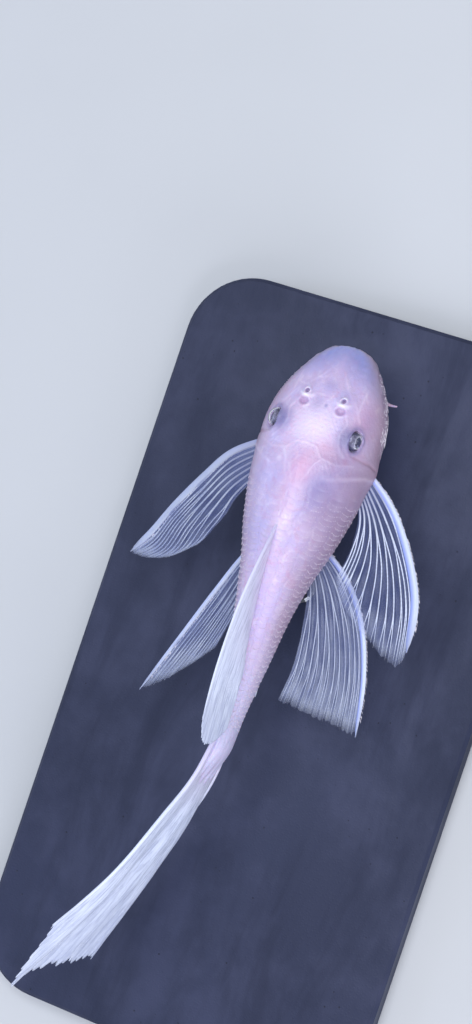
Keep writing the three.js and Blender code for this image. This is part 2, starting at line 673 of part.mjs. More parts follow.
function rodSolid(x) {
  const foot = BASE.height - ROD.socketDepth + GAP;
  const collar = BASE.height + GAP;
  const collarTop = collar + ROD.collarHeight;
  const saddle = BELLY_Z - ROD.saddleHeight;
  const { radius, collarRadius, saddleRadius } = ROD;
  return turned([
    [0, foot], [radius, foot], [radius, collar], [collarRadius, collar],
    [collarRadius, (collar + collarTop) / 2], [collarRadius - ROD.collarSlope, collarTop],
    [radius, collarTop], [radius, saddle - ROD.saddleSlope], [saddleRadius, saddle],
    [saddleRadius, BELLY_Z + ROD.seat], [0, BELLY_Z + ROD.seat],
  ], x);
}

let base = baseSolid();
for (const x of [ROD.frontX, ROD.rearX]) {
  base = base.subtract(socket(x));
}
addNode('stand_base', SLATE, base);
addNode('stand_rod_front', STEEL, rodSolid(ROD.frontX).subtract(bodyRoom));
addNode('stand_rod_rear', STEEL, rodSolid(ROD.rearX).subtract(bodyRoom));

export default part;
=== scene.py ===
"""Looks of a life-size long-finned bristlenose pleco on a flat display base with two rods.

Sizes are in millimetres in the frame of the part: +X towards the head, +Y to the fish's left, +Z up.
Every mesh is scaled to metres when it is made.
"""
import math

import bpy
import numpy as np
from mathutils import Matrix, Vector


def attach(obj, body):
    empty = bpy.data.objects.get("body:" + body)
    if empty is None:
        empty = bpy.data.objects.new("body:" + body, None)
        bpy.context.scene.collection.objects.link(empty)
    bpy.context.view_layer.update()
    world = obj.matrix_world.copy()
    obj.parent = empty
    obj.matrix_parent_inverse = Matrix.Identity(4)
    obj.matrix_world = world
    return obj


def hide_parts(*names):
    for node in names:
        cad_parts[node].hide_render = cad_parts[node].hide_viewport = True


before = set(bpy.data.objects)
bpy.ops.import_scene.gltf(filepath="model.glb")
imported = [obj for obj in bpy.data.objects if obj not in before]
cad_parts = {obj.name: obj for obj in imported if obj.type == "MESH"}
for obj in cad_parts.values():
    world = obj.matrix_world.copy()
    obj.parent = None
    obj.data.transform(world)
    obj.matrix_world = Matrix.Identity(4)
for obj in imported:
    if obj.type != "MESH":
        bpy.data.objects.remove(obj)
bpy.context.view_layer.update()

bl_info = {
    "name": "Bristlenose pleco model",
    "version": (1, 0, 0),
    "blender": (4, 5, 0),
    "location": "3D View > Sidebar > Pleco",
    "description": "Builds the skin, eyes, mouth, fins, stand finish and studio of a life-size pleco model",
    "category": "Add Mesh",
}

MM = 0.001

# Driving dimensions of the fish
STANDARD_LENGTH = 80
SNOUT_X = 68
BELLY_Z = 23
TAIL_BASE_X = SNOUT_X - STANDARD_LENGTH
TAIL_BEND = 1.3
BEND_START_X = 20
EYE = {"x": 50.2, "y": 7.6, "z": 32.6, "radius": 2.3, "tilt": 0.6}
NOSTRIL = {"x": 56.8, "y": 3.8}
MOUTH = {"x": 60.4, "length": 9.2, "width": 11.4, "bottom": 21.9, "top": 24.4}
ROOF_SHARE = 0.68


# Curves and small maths
def smooth_step(low, high, value):
    """0 below low, 1 above high, and an even rise between them; low may be above high."""
    t = np.clip((np.asarray(value, float) - low) / (high - low), 0, 1)
    return t * t * (3 - 2 * t)


def bump_at(distance, radius):
    """A round swelling: 1 in the middle and nearly 0 at twice the radius."""
    return np.exp(-(distance / radius) ** 2)


def unit(vectors):
    """Vectors at length 1."""
    return vectors / np.maximum(np.linalg.norm(vectors, axis=-1, keepdims=True), 1e-9)


def turns(count):
    """Angles evenly spaced round a circle."""
    return np.arange(count) * 2 * np.pi / count


def smooth_profile(knots):
    """A smooth curve through [place, value] pairs that never overshoots them."""
    places, values = (np.array(column, float) for column in zip(*knots))
    rise = np.diff(values) / np.diff(places)
    before = np.concatenate([rise[:1], rise])
    after = np.concatenate([rise, rise[-1:]])
    same_way = before * after > 0
    slopes = np.where(same_way, 2 * before * after / np.where(same_way, before + after, 1), 0)

    def value_at(place):
        at = np.clip(place, places[0], places[-1])
        i = np.clip(np.searchsorted(places, at, side="right") - 1, 0, len(rise) - 1)
        span = places[i + 1] - places[i]
        t = (at - places[i]) / span
        ease = t * t * (3 - 2 * t)
        bend = slopes[i] * t * (1 - t) ** 2 - slopes[i + 1] * t * t * (1 - t)
        return values[i] * (1 - ease) + values[i + 1] * ease + span * bend

    return value_at


def curve_through(points, shares):
    """Places along a centripetal Catmull-Rom curve through the points, at shares 0 to 1 of its spans."""
    points = np.asarray(points, float)
    first = 2 * points[0] - points[1]
    last = 2 * points[-1] - points[-2]
    padded = np.concatenate([[first], points, [last]])
    steps = np.maximum(np.linalg.norm(np.diff(padded, axis=0), axis=1) ** 0.5, 1e-4)
    place = np.asarray(shares, float) * (len(points) - 1)
    span = np.clip(np.floor(place).astype(int), 0, len(points) - 2)
    w = (place - span)[:, None]
    p0, p1, p2, p3 = (padded[span + k] for k in range(4))
    d0, d1, d2 = (steps[span + k][:, None] for k in range(3))
    leave = ((p1 - p0) / d0 - (p2 - p0) / (d0 + d1) + (p2 - p1) / d1) * d1
    arrive = ((p2 - p1) / d1 - (p3 - p1) / (d1 + d2) + (p3 - p2) / d2) * d1
    square = -3 * p1 + 3 * p2 - 2 * leave - arrive
    cube = 2 * p1 - 2 * p2 + leave + arrive
    return p1 + leave * w + square * w * w + cube * w ** 3


RIPPLE = {"waves": 14, "shortest": 0.7, "longest": 1.5}


def ripple(points, size, seed):
    """Uneven waves of about one size over points, from about -1 to 1."""
    waves = RIPPLE["waves"]
    random = np.random.default_rng(seed)
    directions = unit(random.normal(size=(waves, 3)))
    lengths = size * random.uniform(RIPPLE["shortest"], RIPPLE["longest"], waves)
    phases = random.uniform(0, 2 * np.pi, waves)
    angle = points @ (directions / lengths[:, None]).T * 2 * np.pi + phases
    return np.sin(angle).sum(-1) / math.sqrt(waves)


def line_distance(points, line):
    """Distance from each point to a line through corner points, in two or three dimensions."""
    line = np.asarray(line, float)
    nearest = np.full(points.shape[:-1], np.inf)
    for start, end in zip(line[:-1], line[1:]):
        run = end - start
        share = np.clip(((points - start) @ run) / (run @ run), 0, 1)
        gap = np.linalg.norm(points - start - share[..., None] * run, axis=-1)
        nearest = np.minimum(nearest, gap)
    return nearest


# Meshes
class Shape:
    """Points, faces, a finish number for each face and named values for each point."""

    def __init__(self, points, faces, finish=0, values=None):
        self.points = np.asarray(points, float).reshape(-1, 3)
        self.faces = [tuple(face) for face in faces]
        self.finish = [finish] * len(self.faces)
        self.values = {}
        for name, value in (values or {}).items():
            self.values[name] = np.broadcast_to(np.asarray(value, float).ravel(), (len(self.points),))


def joined(shapes):
    """Several shapes as one, with 0 where a shape lacks a named value."""
    whole = Shape(np.concatenate([shape.points for shape in shapes]), [])
    names = sorted({name for shape in shapes for name in shape.values})
    whole.values = {
        name: np.concatenate([shape.values.get(name, np.zeros(len(shape.points))) for shape in shapes])
        for name in names
    }
    start = 0
    for shape in shapes:
        whole.faces += [tuple(corner + start for corner in face) for face in shape.faces]
        whole.finish += shape.finish
        start += len(shape.points)
    return whole


def grid_faces(rows, columns, wrap=False, start=0, flip=False):
    """Four-sided faces over a grid of points; wrap joins the last column to the first."""
    reach = columns if wrap else columns - 1
    row, column = np.meshgrid(np.arange(rows - 1), np.arange(reach), indexing="ij")
    here = start + row * columns + column
    beside = start + row * columns + (column + 1) % columns
    corners = [here, beside, beside + columns, here + columns]
    if flip:
        corners.reverse()
    return np.stack(corners, -1).reshape(-1, 4).tolist()


def cap_faces(centre, ring_start, count, flip=False):
    """Three-sided faces from a centre point to a ring."""
    faces = [(centre, ring_start + i, ring_start + (i + 1) % count) for i in range(count)]
    return [tuple(reversed(face)) for face in faces] if flip else faces


def barrel_faces(rings, around, flip=False):
    """Faces of a closed body: rings of points, then the middle points of its first and last ring."""
    count = rings * around
    return (grid_faces(rings, around, wrap=True, flip=flip)
            + cap_faces(count, 0, around, flip=not flip)
            + cap_faces(count + 1, count - around, around, flip=flip))


def tubes(paths, ups, widths, heights, sides, finish=0, values=None):
    """Closed tubes of oval section. Paths are (tubes, steps, 3); ups point across each tube's height."""
    count, steps, _ = paths.shape
    tangents = unit(np.gradient(paths, axis=1))
    across = unit(np.cross(tangents, ups))
    tall = unit(np.cross(across, tangents))
    angles = turns(sides)
    ring = (across[:, :, None] * (widths[:, :, None] * np.cos(angles))[..., None]
            + tall[:, :, None] * (heights[:, :, None] * np.sin(angles))[..., None]
            + paths[:, :, None])
    body = ring.reshape(count, steps * sides, 3)
    points = np.concatenate([body, paths[:, :1], paths[:, -1:]], axis=1)
    per_tube = steps * sides + 2
    pattern = barrel_faces(steps, sides, flip=True)
    faces = [tuple(corner + tube * per_tube for corner in face) for tube in range(count) for face in pattern]
    spread = {}
    for name, value in (values or {}).items():
        value = np.broadcast_to(value, (count, steps))
        along = np.repeat(value, sides, axis=1)
        spread[name] = np.concatenate([along, value[:, :1], value[:, -1:]], axis=1)
    return Shape(points, faces, finish, spread)


def make_piece(name, shape, materials, stands_for=()):
    """A mesh object from a shape, riding on the model's one body."""
    mesh = bpy.data.meshes.new(name)
    mesh.from_pydata((shape.points * MM).tolist(), [], shape.faces)
    for value_name, value in shape.values.items():
        layer = mesh.attributes.new(value_name, "FLOAT", "POINT")
        layer.data.foreach_set("value", np.ascontiguousarray(value, dtype=np.float32))
    for material in materials:
        mesh.materials.append(material)
    mesh.polygons.foreach_set("material_index", shape.finish)
    mesh.polygons.foreach_set("use_smooth", [True] * len(shape.faces))
    mesh.update()
    piece = bpy.data.objects.new(name, mesh)
    bpy.context.scene.collection.objects.link(piece)
    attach(piece, "root")
    if stands_for:
        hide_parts(*stands_for)
    return piece


# The body's sections: half width, and heights of the back, belly and widest level above BELLY_Z
half_width = smooth_profile([
    [0, 0], [0.4, 2.4], [1.5, 4.7], [3.5, 6.5], [6.5, 8.5], [10, 10.3], [14, 11.5], [20, 11.9],
    [26, 11.6], [30, 11.1], [38, 9.4], [46, 7.05], [54, 5.35], [62, 4.2], [70, 2.9], [76, 2.1], [80, 1.9],
])
back_height = smooth_profile([
    [0, 2.8], [0.4, 4.1], [1.5, 5.5], [4, 7.5], [8, 9.5], [12, 11.1], [16, 12.3], [20, 13.1],
    [26, 13.9], [37, 14.8], [45, 14], [55, 12.4], [65, 11.1], [73, 10.5], [80, 10.8],
])
belly_height = smooth_profile([
    [0, 2.8], [0.4, 1.5], [1.5, 0.8], [3.5, 0.3], [8, 0], [46, 0], [60, 1.1], [72, 2.3], [80, 2.3],
])
widest_height = smooth_profile([[0, 2.8], [5, 2.7], [15, 3.6], [30, 4.5], [45, 5.1], [60, 5.6], [80, 6.4]])
roof_power = smooth_profile([[0, 2.4], [12, 2.15], [30, 1.9], [45, 1.75], [62, 1.9], [80, 2.2]])
belly_power = smooth_profile([[0, 2.4], [6, 3.2], [20, 3.8], [45, 3.6], [62, 2.6], [80, 2.2]])


def spine_y(x):
    """How far the tail's end of the body bends to the fish's right."""
    return -TAIL_BEND * smooth_step(BEND_START_X, TAIL_BASE_X, x)


def side_point(s, t):
    """The left side's bare skin: s behind the snout, t from 0 on the back to 1 under the belly."""
    roof = t <= ROOF_SHARE
    share = np.where(roof, t / ROOF_SHARE, (t - ROOF_SHARE) / (1 - ROOF_SHARE))
    power = 2 / np.where(roof, roof_power(s), belly_power(s))
    down = np.maximum(np.cos(share * np.pi / 2), 0) ** power
    out = np.maximum(np.sin(share * np.pi / 2), 0) ** power
    level = widest_height(s)
    y = half_width(s) * np.where(roof, out, down)
    z = np.where(roof, level + (back_height(s) - level) * down, level - (level - belly_height(s)) * out)
    return np.stack(np.broadcast_arrays(SNOUT_X - s, y, BELLY_Z + z), -1)


PROBE = {"s": 0.06, "t": 0.004}


def side_normal(s, t):
    """The outward direction of the left side's skin."""
    along = side_point(s + PROBE["s"], t) - side_point(np.maximum(s - PROBE["s"], 0), t)
    across = side_point(s, np.minimum(t + PROBE["t"], 1)) - side_point(s, np.maximum(t - PROBE["t"], 0))
    normal = np.cross(across, along)
    normal[..., 1] = np.where((t <= 0) | (t >= 1), 0, normal[..., 1])
    return unit(normal)


def on_side(side, *vectors):
    """Places or directions of the left side (1) as they are, or mirrored to the right side (-1)."""
    return [vector * np.array([1.0, side, 1.0]) for vector in vectors]


def back_at(x, lift):
    """A point over the back's middle line."""
    return [x, float(spine_y(x)), BELLY_Z + float(back_height(SNOUT_X - x)) + lift]


# Soft swellings of the head's roof: x, y, radius, height
ROOF_SWELLINGS = [
    (EYE["x"], 7.9, 3.4, 0.75),
    (NOSTRIL["x"], NOSTRIL["y"], 1.9, 0.4),
    (42.5, 6, 3.6, 0.4),
    (43, 0, 3, 0.35),
]
# Soft swellings at the roots of the paired fins: place, radius, height
FIN_ROOT_SWELLINGS = [
    ((45.2, 10.4, 26.2), 2.6, 0.75),
    ((29.6, 5.2, 23.6), 2.2, 0.35),
]

# Bony plates of the sides, each rising to its rear edge over the next one
# groove, keel and rear are shares of a plate's width or length, the two heights shares of its full height
PLATES = {
    "start": 27.6, "count": 25, "rows": 5, "end": 0.8, "bow": 0.5, "bow_middle": 0.4, "wander": 0.09,
    "groove": 0.13, "keel": 0.2, "rear": 0.86, "front_height": 0.25, "side_height": 0.72, "slope": 1.3,
}
PLATE_PITCH = (STANDARD_LENGTH - PLATES["start"]) / PLATES["count"]
PLATE_ROW = PLATES["end"] / PLATES["rows"]
ROW_OFFSETS = np.array([0.0, 0.5, 0.12, 0.6, 0.2])

# Raised edges of the head's bones, on one side, as lines over its roof (x, y)
HEAD_RIDGES = [
    [(62.4, 1.5), (60.2, 2.9), (58.8, 4.0), (57.6, 5.1), (56.3, 6.4), (54.6, 7.3), (52.9, 8.0)],
    [(60.4, 6.9), (58, 6.8), (55.6, 6.9), (53.6, 7.9)],
    [(54.6, 5.2), (52.9, 5.9), (50.6, 5.3), (48.3, 5.8), (46.6, 7.2)],
    [(47.3, 0.0), (47.0, 2.2), (45.2, 3.6), (44.7, 6.4), (45.6, 9.2)],
    [(44.9, 3.7), (43.4, 2.8), (41.3, 2.3), (39.4, 1.3), (38.6, 0)],
]
# The slit behind the cheek and the edge of the shoulder bone, on one side (x, y, z)
GILL_SLIT = [
    (47.4, 8.2, 34.1), (47.0, 10.2, 32.0), (46.9, 11.5, 29.6), (46.3, 11.7, 27), (45.2, 9.8, 24.2),
    (44.6, 7, 23),
]
SHOULDER_EDGE = [
    (41.6, 5.4, 36.1), (42.2, 7.6, 34.8), (43.2, 9.6, 32.8), (44.2, 11.3, 29.6), (44.3, 11.6, 27.4),
]
# Half widths of these lines, and heights of the skin's small forms
LINE_WIDTHS = {"ridge": 0.24, "slit": 0.32, "shoulder": 0.42}
RELIEF = {"slit": 0.2, "shoulder": 0.1, "roof_grain": 0.012, "margin": 0.06, "belly": 0.07}

# Detail of the nostrils, behind and beside the opening's middle
NOSTRIL_RIM = {"radius": 0.66, "thickness": 0.26, "height": 0.32, "narrowing": 0.92}
NOSTRIL_HOLE = {"radius": 0.38, "depth": 0.55, "outer": 0.16, "inner": 0.2}
NOSTRIL_FLAP = {"behind": 0.95, "length": 0.46, "width": 1.15, "height": 0.55, "bow": 0.35}
NOSTRIL_PIT = {"behind": 2.0, "length": 0.8, "width": 0.95, "depth": 0.5, "lip": 0.1}

# The slot in the skin over each eyeball (half sizes), its lid and its low rim; the iris looks further out
EYE_SLOT = {"length": 2.15, "width": 1.3, "lid": 0.12, "rim": 0.12, "reach": 4.5, "tuck": 0.4}
GAZE_TILT = 0.92
FAR_FROM_EYE = 9


def plate_bow(across):
    """How far forward a plate's edge bows at a share of its height."""
    return PLATES["bow"] * ((2 * across - 1) ** 2 - PLATES["bow_middle"])


def plate_relief(s, t):
    """Height, seam and keel shares of the side plates."""
    place = t / PLATE_ROW + PLATES["wander"] * np.sin(s * 0.9 + 5 * t)
    row = np.clip(np.floor(place), 0, PLATES["rows"] - 1).astype(int)
    across = place - row
    along = (s + plate_bow(across) - PLATES["start"]) / PLATE_PITCH + ROW_OFFSETS[row]
    along = along - np.floor(along)
    covered = smooth_step(PLATES["start"] - 0.6, PLATES["start"] + 1.6, s)
    covered = covered * smooth_step(1, 0.94, t / PLATES["end"])
    arch = smooth_step(0, PLATES["groove"], across) * smooth_step(1, 1 - PLATES["groove"], across)
    keel = bump_at(across - 0.5, PLATES["keel"])
    rise = PLATES["front_height"] + (1 - PLATES["front_height"]) * along ** PLATES["slope"]
    drop = smooth_step(1, PLATES["rear"], along) * smooth_step(-0.02, 0.06, along)
    crown = PLATES["side_height"] + (1 - PLATES["side_height"]) * keel
    return covered * arch * drop * rise * crown, covered * (1 - arch * drop), covered * keel * drop * along


def nostril_relief(x, y):
    """Height of one nostril, and the shares of its red lining, its whitish collar and its dark hole, which is
    painted shade of the nostril's deep cavity.
    """
    ahead = x - NOSTRIL["x"]
    aside = y - NOSTRIL["y"]
    radius = np.hypot(ahead, aside / NOSTRIL_RIM["narrowing"])
    rim = bump_at(radius - NOSTRIL_RIM["radius"], NOSTRIL_RIM["thickness"])
    hole_outer = NOSTRIL_HOLE["radius"] + NOSTRIL_HOLE["outer"]
    hole_inner = NOSTRIL_HOLE["radius"] - NOSTRIL_HOLE["inner"]
    hole = NOSTRIL_HOLE["depth"] * smooth_step(hole_outer, hole_inner, radius)
    bowed = ahead + NOSTRIL_FLAP["behind"] - NOSTRIL_FLAP["bow"] * (aside / NOSTRIL_FLAP["width"]) ** 2
    flap = bump_at(bowed, NOSTRIL_FLAP["length"]) * bump_at(aside, NOSTRIL_FLAP["width"])
    pit_ahead = (ahead + NOSTRIL_PIT["behind"]) / NOSTRIL_PIT["length"]
    pit_place = np.hypot(pit_ahead, aside / NOSTRIL_PIT["width"])
    pit = NOSTRIL_PIT["depth"] * smooth_step(1.15, 0.45, pit_place)
    lip = NOSTRIL_PIT["lip"] * bump_at(pit_place - 1.3, 0.22)
    height = NOSTRIL_RIM["height"] * rim - hole + NOSTRIL_FLAP["height"] * flap - pit + lip
    lining = smooth_step(1.25, 0.75, pit_place) * (1 - 0.8 * flap)
    ring = rim * (0.42 + 0.2 * np.sin(3 * np.arctan2(aside, ahead) + x))
    return height, lining, np.maximum(ring, flap), smooth_step(0.5, 0.24, radius)


def eye_axes(tilt):
    """The left eye's upper and outward directions for a tilt away from straight up."""
    upper = np.array([0, -math.cos(tilt), math.sin(tilt)])
    outward = np.array([0, math.sin(tilt), math.cos(tilt)])
    return upper, outward


def seat_eye(points):
    """Opens a long slot over the eyeball and draws the skin up round it like a lid.

    Also returns each point's place in the slot, 1 at its edge, and the shares of the lid and of the
    thin skin over the eyeball's inner side.
    """
    upper, axis = eye_axes(EYE["tilt"])
    offset = points - np.array([EYE["x"], EYE["y"], EYE["z"]])
    outward = offset @ axis
    ahead = offset[..., 0]
    across = offset @ upper
    sideways = np.hypot(ahead, across)
    slot = np.hypot(ahead / EYE_SLOT["length"], across / EYE_SLOT["width"])
    near = (outward > 0) & (sideways < EYE_SLOT["reach"])
    ball = np.sqrt(np.maximum(EYE["radius"] ** 2 - sideways ** 2, 0))
    under = np.minimum(outward, ball - EYE_SLOT["tuck"])
    lid_top = ball + EYE_SLOT["lid"] * smooth_step(0.94, 1.25, slot)
    over = np.where(sideways < EYE["radius"], lid_top, -FAR_FROM_EYE)
    natural = outward + EYE_SLOT["rim"] * bump_at(slot - 1.28, 0.24)
    settled = under + (np.maximum(natural, over) - under) * smooth_step(0.92, 1.04, slot)
    shift = np.where(near, settled - outward, 0)
    lid = np.where(near, bump_at(slot - 1.15, 0.18), 0)
    thin_skin = np.where(near, bump_at(np.hypot(ahead / 2.2, (across - 1.7) / 1.5), 1), 0)
    return points + shift[..., None] * axis, np.where(near, slot, FAR_FROM_EYE), lid, thin_skin


# Rings of the skin: a fine start at the snout, then runs of rings up to a distance behind it
SNOUT_RUN = {"reach": 9, "rings": 58, "ease": 1.5}
RING_RUNS = [(14.2, 52), (22, 62), (29, 44), (STANDARD_LENGTH, 236)]
RING_STEPS = {"roof": 138, "belly": 56}


def skin_grid():
    """Places of the left side's points: s for each ring behind the snout, t down each ring."""
    stations = SNOUT_RUN["reach"] * np.linspace(0, 1, SNOUT_RUN["rings"])[1:] ** SNOUT_RUN["ease"]
    for reach, rings in RING_RUNS:
        stations = np.append(stations, np.linspace(stations[-1], reach, rings)[1:])
    roof = np.linspace(0, ROOF_SHARE, RING_STEPS["roof"])[:-1]
    belly = np.linspace(ROOF_SHARE, 1, RING_STEPS["belly"])
    return np.meshgrid(stations, np.concatenate([roof, belly]), indexing="ij")


def skin_side(settings):
    """The left side of the skin: its points, and named values that its finish reads."""
    s, t = skin_grid()
    base = side_point(s, t)
    normal = side_normal(s, t)
    x, y = base[..., 0], base[..., 1]
    roof = smooth_step(0.74, 0.5, t)

    swell = sum(lift * bump_at(np.hypot(x - cx, y - cy), radius) for cx, cy, radius, lift in ROOF_SWELLINGS)
    height = swell * roof
    for centre, radius, lift in FIN_ROOT_SWELLINGS:
        height += lift * bump_at(np.linalg.norm(base - np.array(centre), axis=-1), radius)

    plates, seam, keel = plate_relief(s, t)
    height += settings.plate_relief / MM * plates

    ridge_gap = np.min([line_distance(base[..., :2], line) for line in HEAD_RIDGES], axis=0)
    fading = 0.65 + 0.35 * ripple(base, 6, 4)
    ridge = np.clip(bump_at(ridge_gap, LINE_WIDTHS["ridge"]) * fading, 0, 1) * roof * smooth_step(38, 41, x)
    height += settings.ridge_height / MM * ridge
    # This mask also carries the painted shade inside the gill slit.
    slit = bump_at(line_distance(base, GILL_SLIT), LINE_WIDTHS["slit"])
    shoulder = bump_at(line_distance(base, SHOULDER_EDGE), LINE_WIDTHS["shoulder"])
    height += RELIEF["shoulder"] * shoulder - RELIEF["slit"] * slit

    up_roof = 1 - np.clip(t / ROOF_SHARE, 0, 1)
    # Painted shade: the snout's and cheeks' edge is tinted darker and bluer where the head turns away from
    # the light; the same mask carries the edge's small relief.
    margin = smooth_step(10.5, 3, s + 6.5 * up_roof - 3) * smooth_step(1, 0.85, t)
    belly = smooth_step(0.8, 0.9, t)
    bony = roof * smooth_step(2, 6, s) * (1 - seam)
    height += RELIEF["roof_grain"] * ripple(base, 0.7, 5) * bony * smooth_step(30, 26, s)
    height += RELIEF["margin"] * ripple(base, 1.5, 8) * margin
    height += RELIEF["belly"] * ripple(base * [1.6, 0.7, 1], 4.5, 9) * belly

    points = base + normal * height[..., None]
    pits, lining, collar, hole = nostril_relief(points[..., 0], points[..., 1])
    points[..., 2] += pits * roof
    points, slot, lid, thin_skin = seat_eye(points)
    stern = smooth_step(14, -13, x)
    values = {
        "stern": stern * (1 - 0.4 * belly),
        "seam": seam,
        "keel": keel,
        "ridge": ridge,
        "collar": collar * roof,
        "shoulder": shoulder,
        "slit": slit,
        "margin": margin,
        "belly": belly,
        "lining": lining * roof,
        "hole": hole * roof,
        "slot": slot,
        "lid": lid,
        "thin_skin": thin_skin,
        # Painted shade: the sides darken down each ring as they turn away from the overhead light, less on
        # the tail stem and not on the belly.
        "flank": smooth_step(0.2, 0.62, t) * (1 - belly) * (1 - 0.6 * stern),
    }
    return points, values


# The skin's run-out over the tail fin's root; the named values that don't fade out on it
TAIL_ROOT = {
    "rings": 34, "length": 11.0, "spread": 0.2, "fingers": 5, "finger_depth": 0.2, "edge_depth": 0.25,
    "end_thickness": 0.02,
}
KEPT_ON_TAIL = ("slot", "stern")


def tail_root(last_ring):
    """Rings that carry the skin on over the tail fin's root, thinning out in fingers along its rays."""
    fin = FINS["caudal_fin"]
    surface = FinSurface(fin["guides"], fin["folds"])
    middle = last_ring.mean(axis=0)
    offset = last_ring - middle
    height = offset[:, 2] / np.abs(offset[:, 2]).max()
    fingers = 0.5 - 0.5 * np.cos(np.pi * TAIL_ROOT["fingers"] * (height + 1))
    shorter = TAIL_ROOT["edge_depth"] * height ** 2 + TAIL_ROOT["finger_depth"] * fingers
    end = TAIL_ROOT["end_thickness"]
    rings = []
    for share in np.linspace(0, 1, TAIL_ROOT["rings"] + 1)[1:]:
        x = last_ring[:, 0] - TAIL_ROOT["length"] * share * (1 - shorter * share)
        z = middle[2] + offset[:, 2] * (1 + TAIL_ROOT["spread"] * share)
        y = middle[1] + (surface.find_y(x, z) - middle[1]) * smooth_step(0, 0.45, share)
        thinned = offset[:, 1] * (end + (1 - end) * smooth_step(1, 0, share))
        rings.append(np.stack([x, y + thinned, z], -1))
    return np.array(rings)


def skin_shape(settings):
    """Both sides as one closed skin from the snout's tip to its end on the tail fin."""
    points, values = skin_side(settings)
    right = points[:, -2:0:-1] * [1, -1, 1]
    both = np.concatenate([points, right], axis=1)
    both[..., 1] += spine_y(both[..., 0])
    root = tail_root(both[-1])
    both = np.concatenate([both, root])
    rows, columns, _ = both.shape
    tip = [SNOUT_X, 0, BELLY_Z + float(back_height(0))]
    flat = np.concatenate([both.reshape(-1, 3), [tip], [root[-1].mean(axis=0)]])
    faces = (grid_faces(rows, columns, wrap=True)
             + cap_faces(rows * columns, 0, columns)
             + cap_faces(rows * columns + 1, (rows - 1) * columns, columns, flip=True))
    spread = {}
    fade = np.linspace(1, 0, len(root) + 1)[1:, None]
    for name, value in values.items():
        whole = np.concatenate([value, value[:, -2:0:-1]], axis=1)
        kept = np.ones_like(fade) if name in KEPT_ON_TAIL else fade
        whole = np.concatenate([whole, whole[-1] * kept])
        spread[name] = np.concatenate([whole.ravel(), whole[0, :1], whole[-1, :1]])
    return Shape(flat, faces, 0, spread)


# Patches of colour under the skin, and patches of painted shade: side (-1 right, 1 left, 0 both), x, y,
# length, width, share
PATCHES = {
    "violet": [
        (1, 50.0, 6.3, 2.6, 1.9, 1.0),
        (-1, 49.6, 6.2, 2.2, 1.6, 0.9),
        (-1, 39.4, 5.0, 4.4, 2.9, 1.0),
        (-1, 42.4, 4.2, 1.8, 1.6, 0.5),
        (1, 39.0, 5.2, 8.0, 4.2, 0.45),
        (0, 56.6, 4.4, 3.4, 2.4, 0.3),
        (-1, 59.2, 0.1, 1.4, 1.6, 0.5),
        (1, 55.3, 1.2, 1.8, 1.5, 0.5),
        (0, 62.5, 3.0, 3.5, 3.0, 0.32),
        (-1, 53.5, 9.6, 4.5, 1.8, 0.4),
        (1, 31.0, 4.4, 9.0, 4.0, 0.45),
        (1, 54.0, 9.6, 3.6, 1.6, 0.3),
        (1, 47.2, 6.4, 1.8, 1.3, 0.4),
        (-1, 55.0, 0.8, 0.45, 0.4, 0.9),
        (-1, 41.5, 8.4, 1.6, 1.2, 0.4),
    ],
    "flush": [
        (-1, 46.6, 4.0, 3.0, 2.6, 0.8),
        (1, 46.2, 3.4, 1.5, 1.4, 0.35),
        (-1, 42.0, 1.4, 5.0, 2.8, 1.0),
        (1, 42.0, 0.4, 4.4, 1.4, 0.7),
        (0, 36.4, 0.6, 4.0, 1.2, 0.55),
        (-1, 54.2, 8.8, 4.2, 2.4, 0.75),
        (1, 52.5, 9.4, 1.8, 1.0, 0.35),
        (-1, 45.9, 7.9, 0.7, 0.6, 0.8),
        (-1, 46.3, 6.2, 0.8, 0.5, 0.6),
        (1, 52.2, 8.2, 0.7, 0.5, 0.5),
        (0, 54.9, 3.9, 1.0, 1.0, 0.5),
    ],
    "pale": [
        (-1, 38.5, 6.0, 1.1, 1.0, 0.6),
        (0, 50.4, 0.4, 4.6, 4.2, 0.85),
        (-1, 50.6, 1.6, 1.0, 1.1, 0.9),
        (1, 45.2, 3.4, 3.0, 2.0, 0.55),
        (1, 42.9, 4.1, 0.75, 0.65, 1.0),
        (0, 32.0, 0.6, 6.0, 1.0, 0.4),
        (-1, 37.2, 7.6, 0.3, 0.3, 0.8),
        (-1, 36.0, 9.9, 0.35, 0.3, 0.8),
        (-1, 57.4, 9.5, 0.6, 0.3, 0.8),
        (-1, 53.4, 11.2, 0.5, 0.3, 0.7),
    ],
    # Painted shade: dark mauve over the right side's back, from the right eye to the shoulder, where that
    # side turns from the overhead light; its small spot at x 38.2 is the skin's own mauve spot.
    "dusk": [
        (-1, 46.2, 7.4, 3.4, 4.4, 0.85),
        (-1, 42.4, 9.6, 6.0, 4.6, 0.85),
        (-1, 36.5, 9.2, 9.0, 5.2, 0.9),
        (-1, 28.0, 8.4, 9.0, 5.0, 0.6),
        (-1, 38.2, 8.4, 1.5, 1.3, 1.0),
        (-1, 49.4, 6.4, 1.8, 1.3, 0.6),
    ],
}
PATCH_RISE = (26, 30)


def patch_share(points, patches):
    """How strongly each point of the back lies in any of the patches."""
    share = np.zeros(len(points))
    for side, x, y, length, width, strength in patches:
        for one_side in ((1, -1) if side == 0 else (side,)):
            gap = np.hypot((points[:, 0] - x) / length, (points[:, 1] - one_side * y) / width)
            share = np.maximum(share, strength * bump_at(gap, 1))
    return share * smooth_step(*PATCH_RISE, points[:, 2])


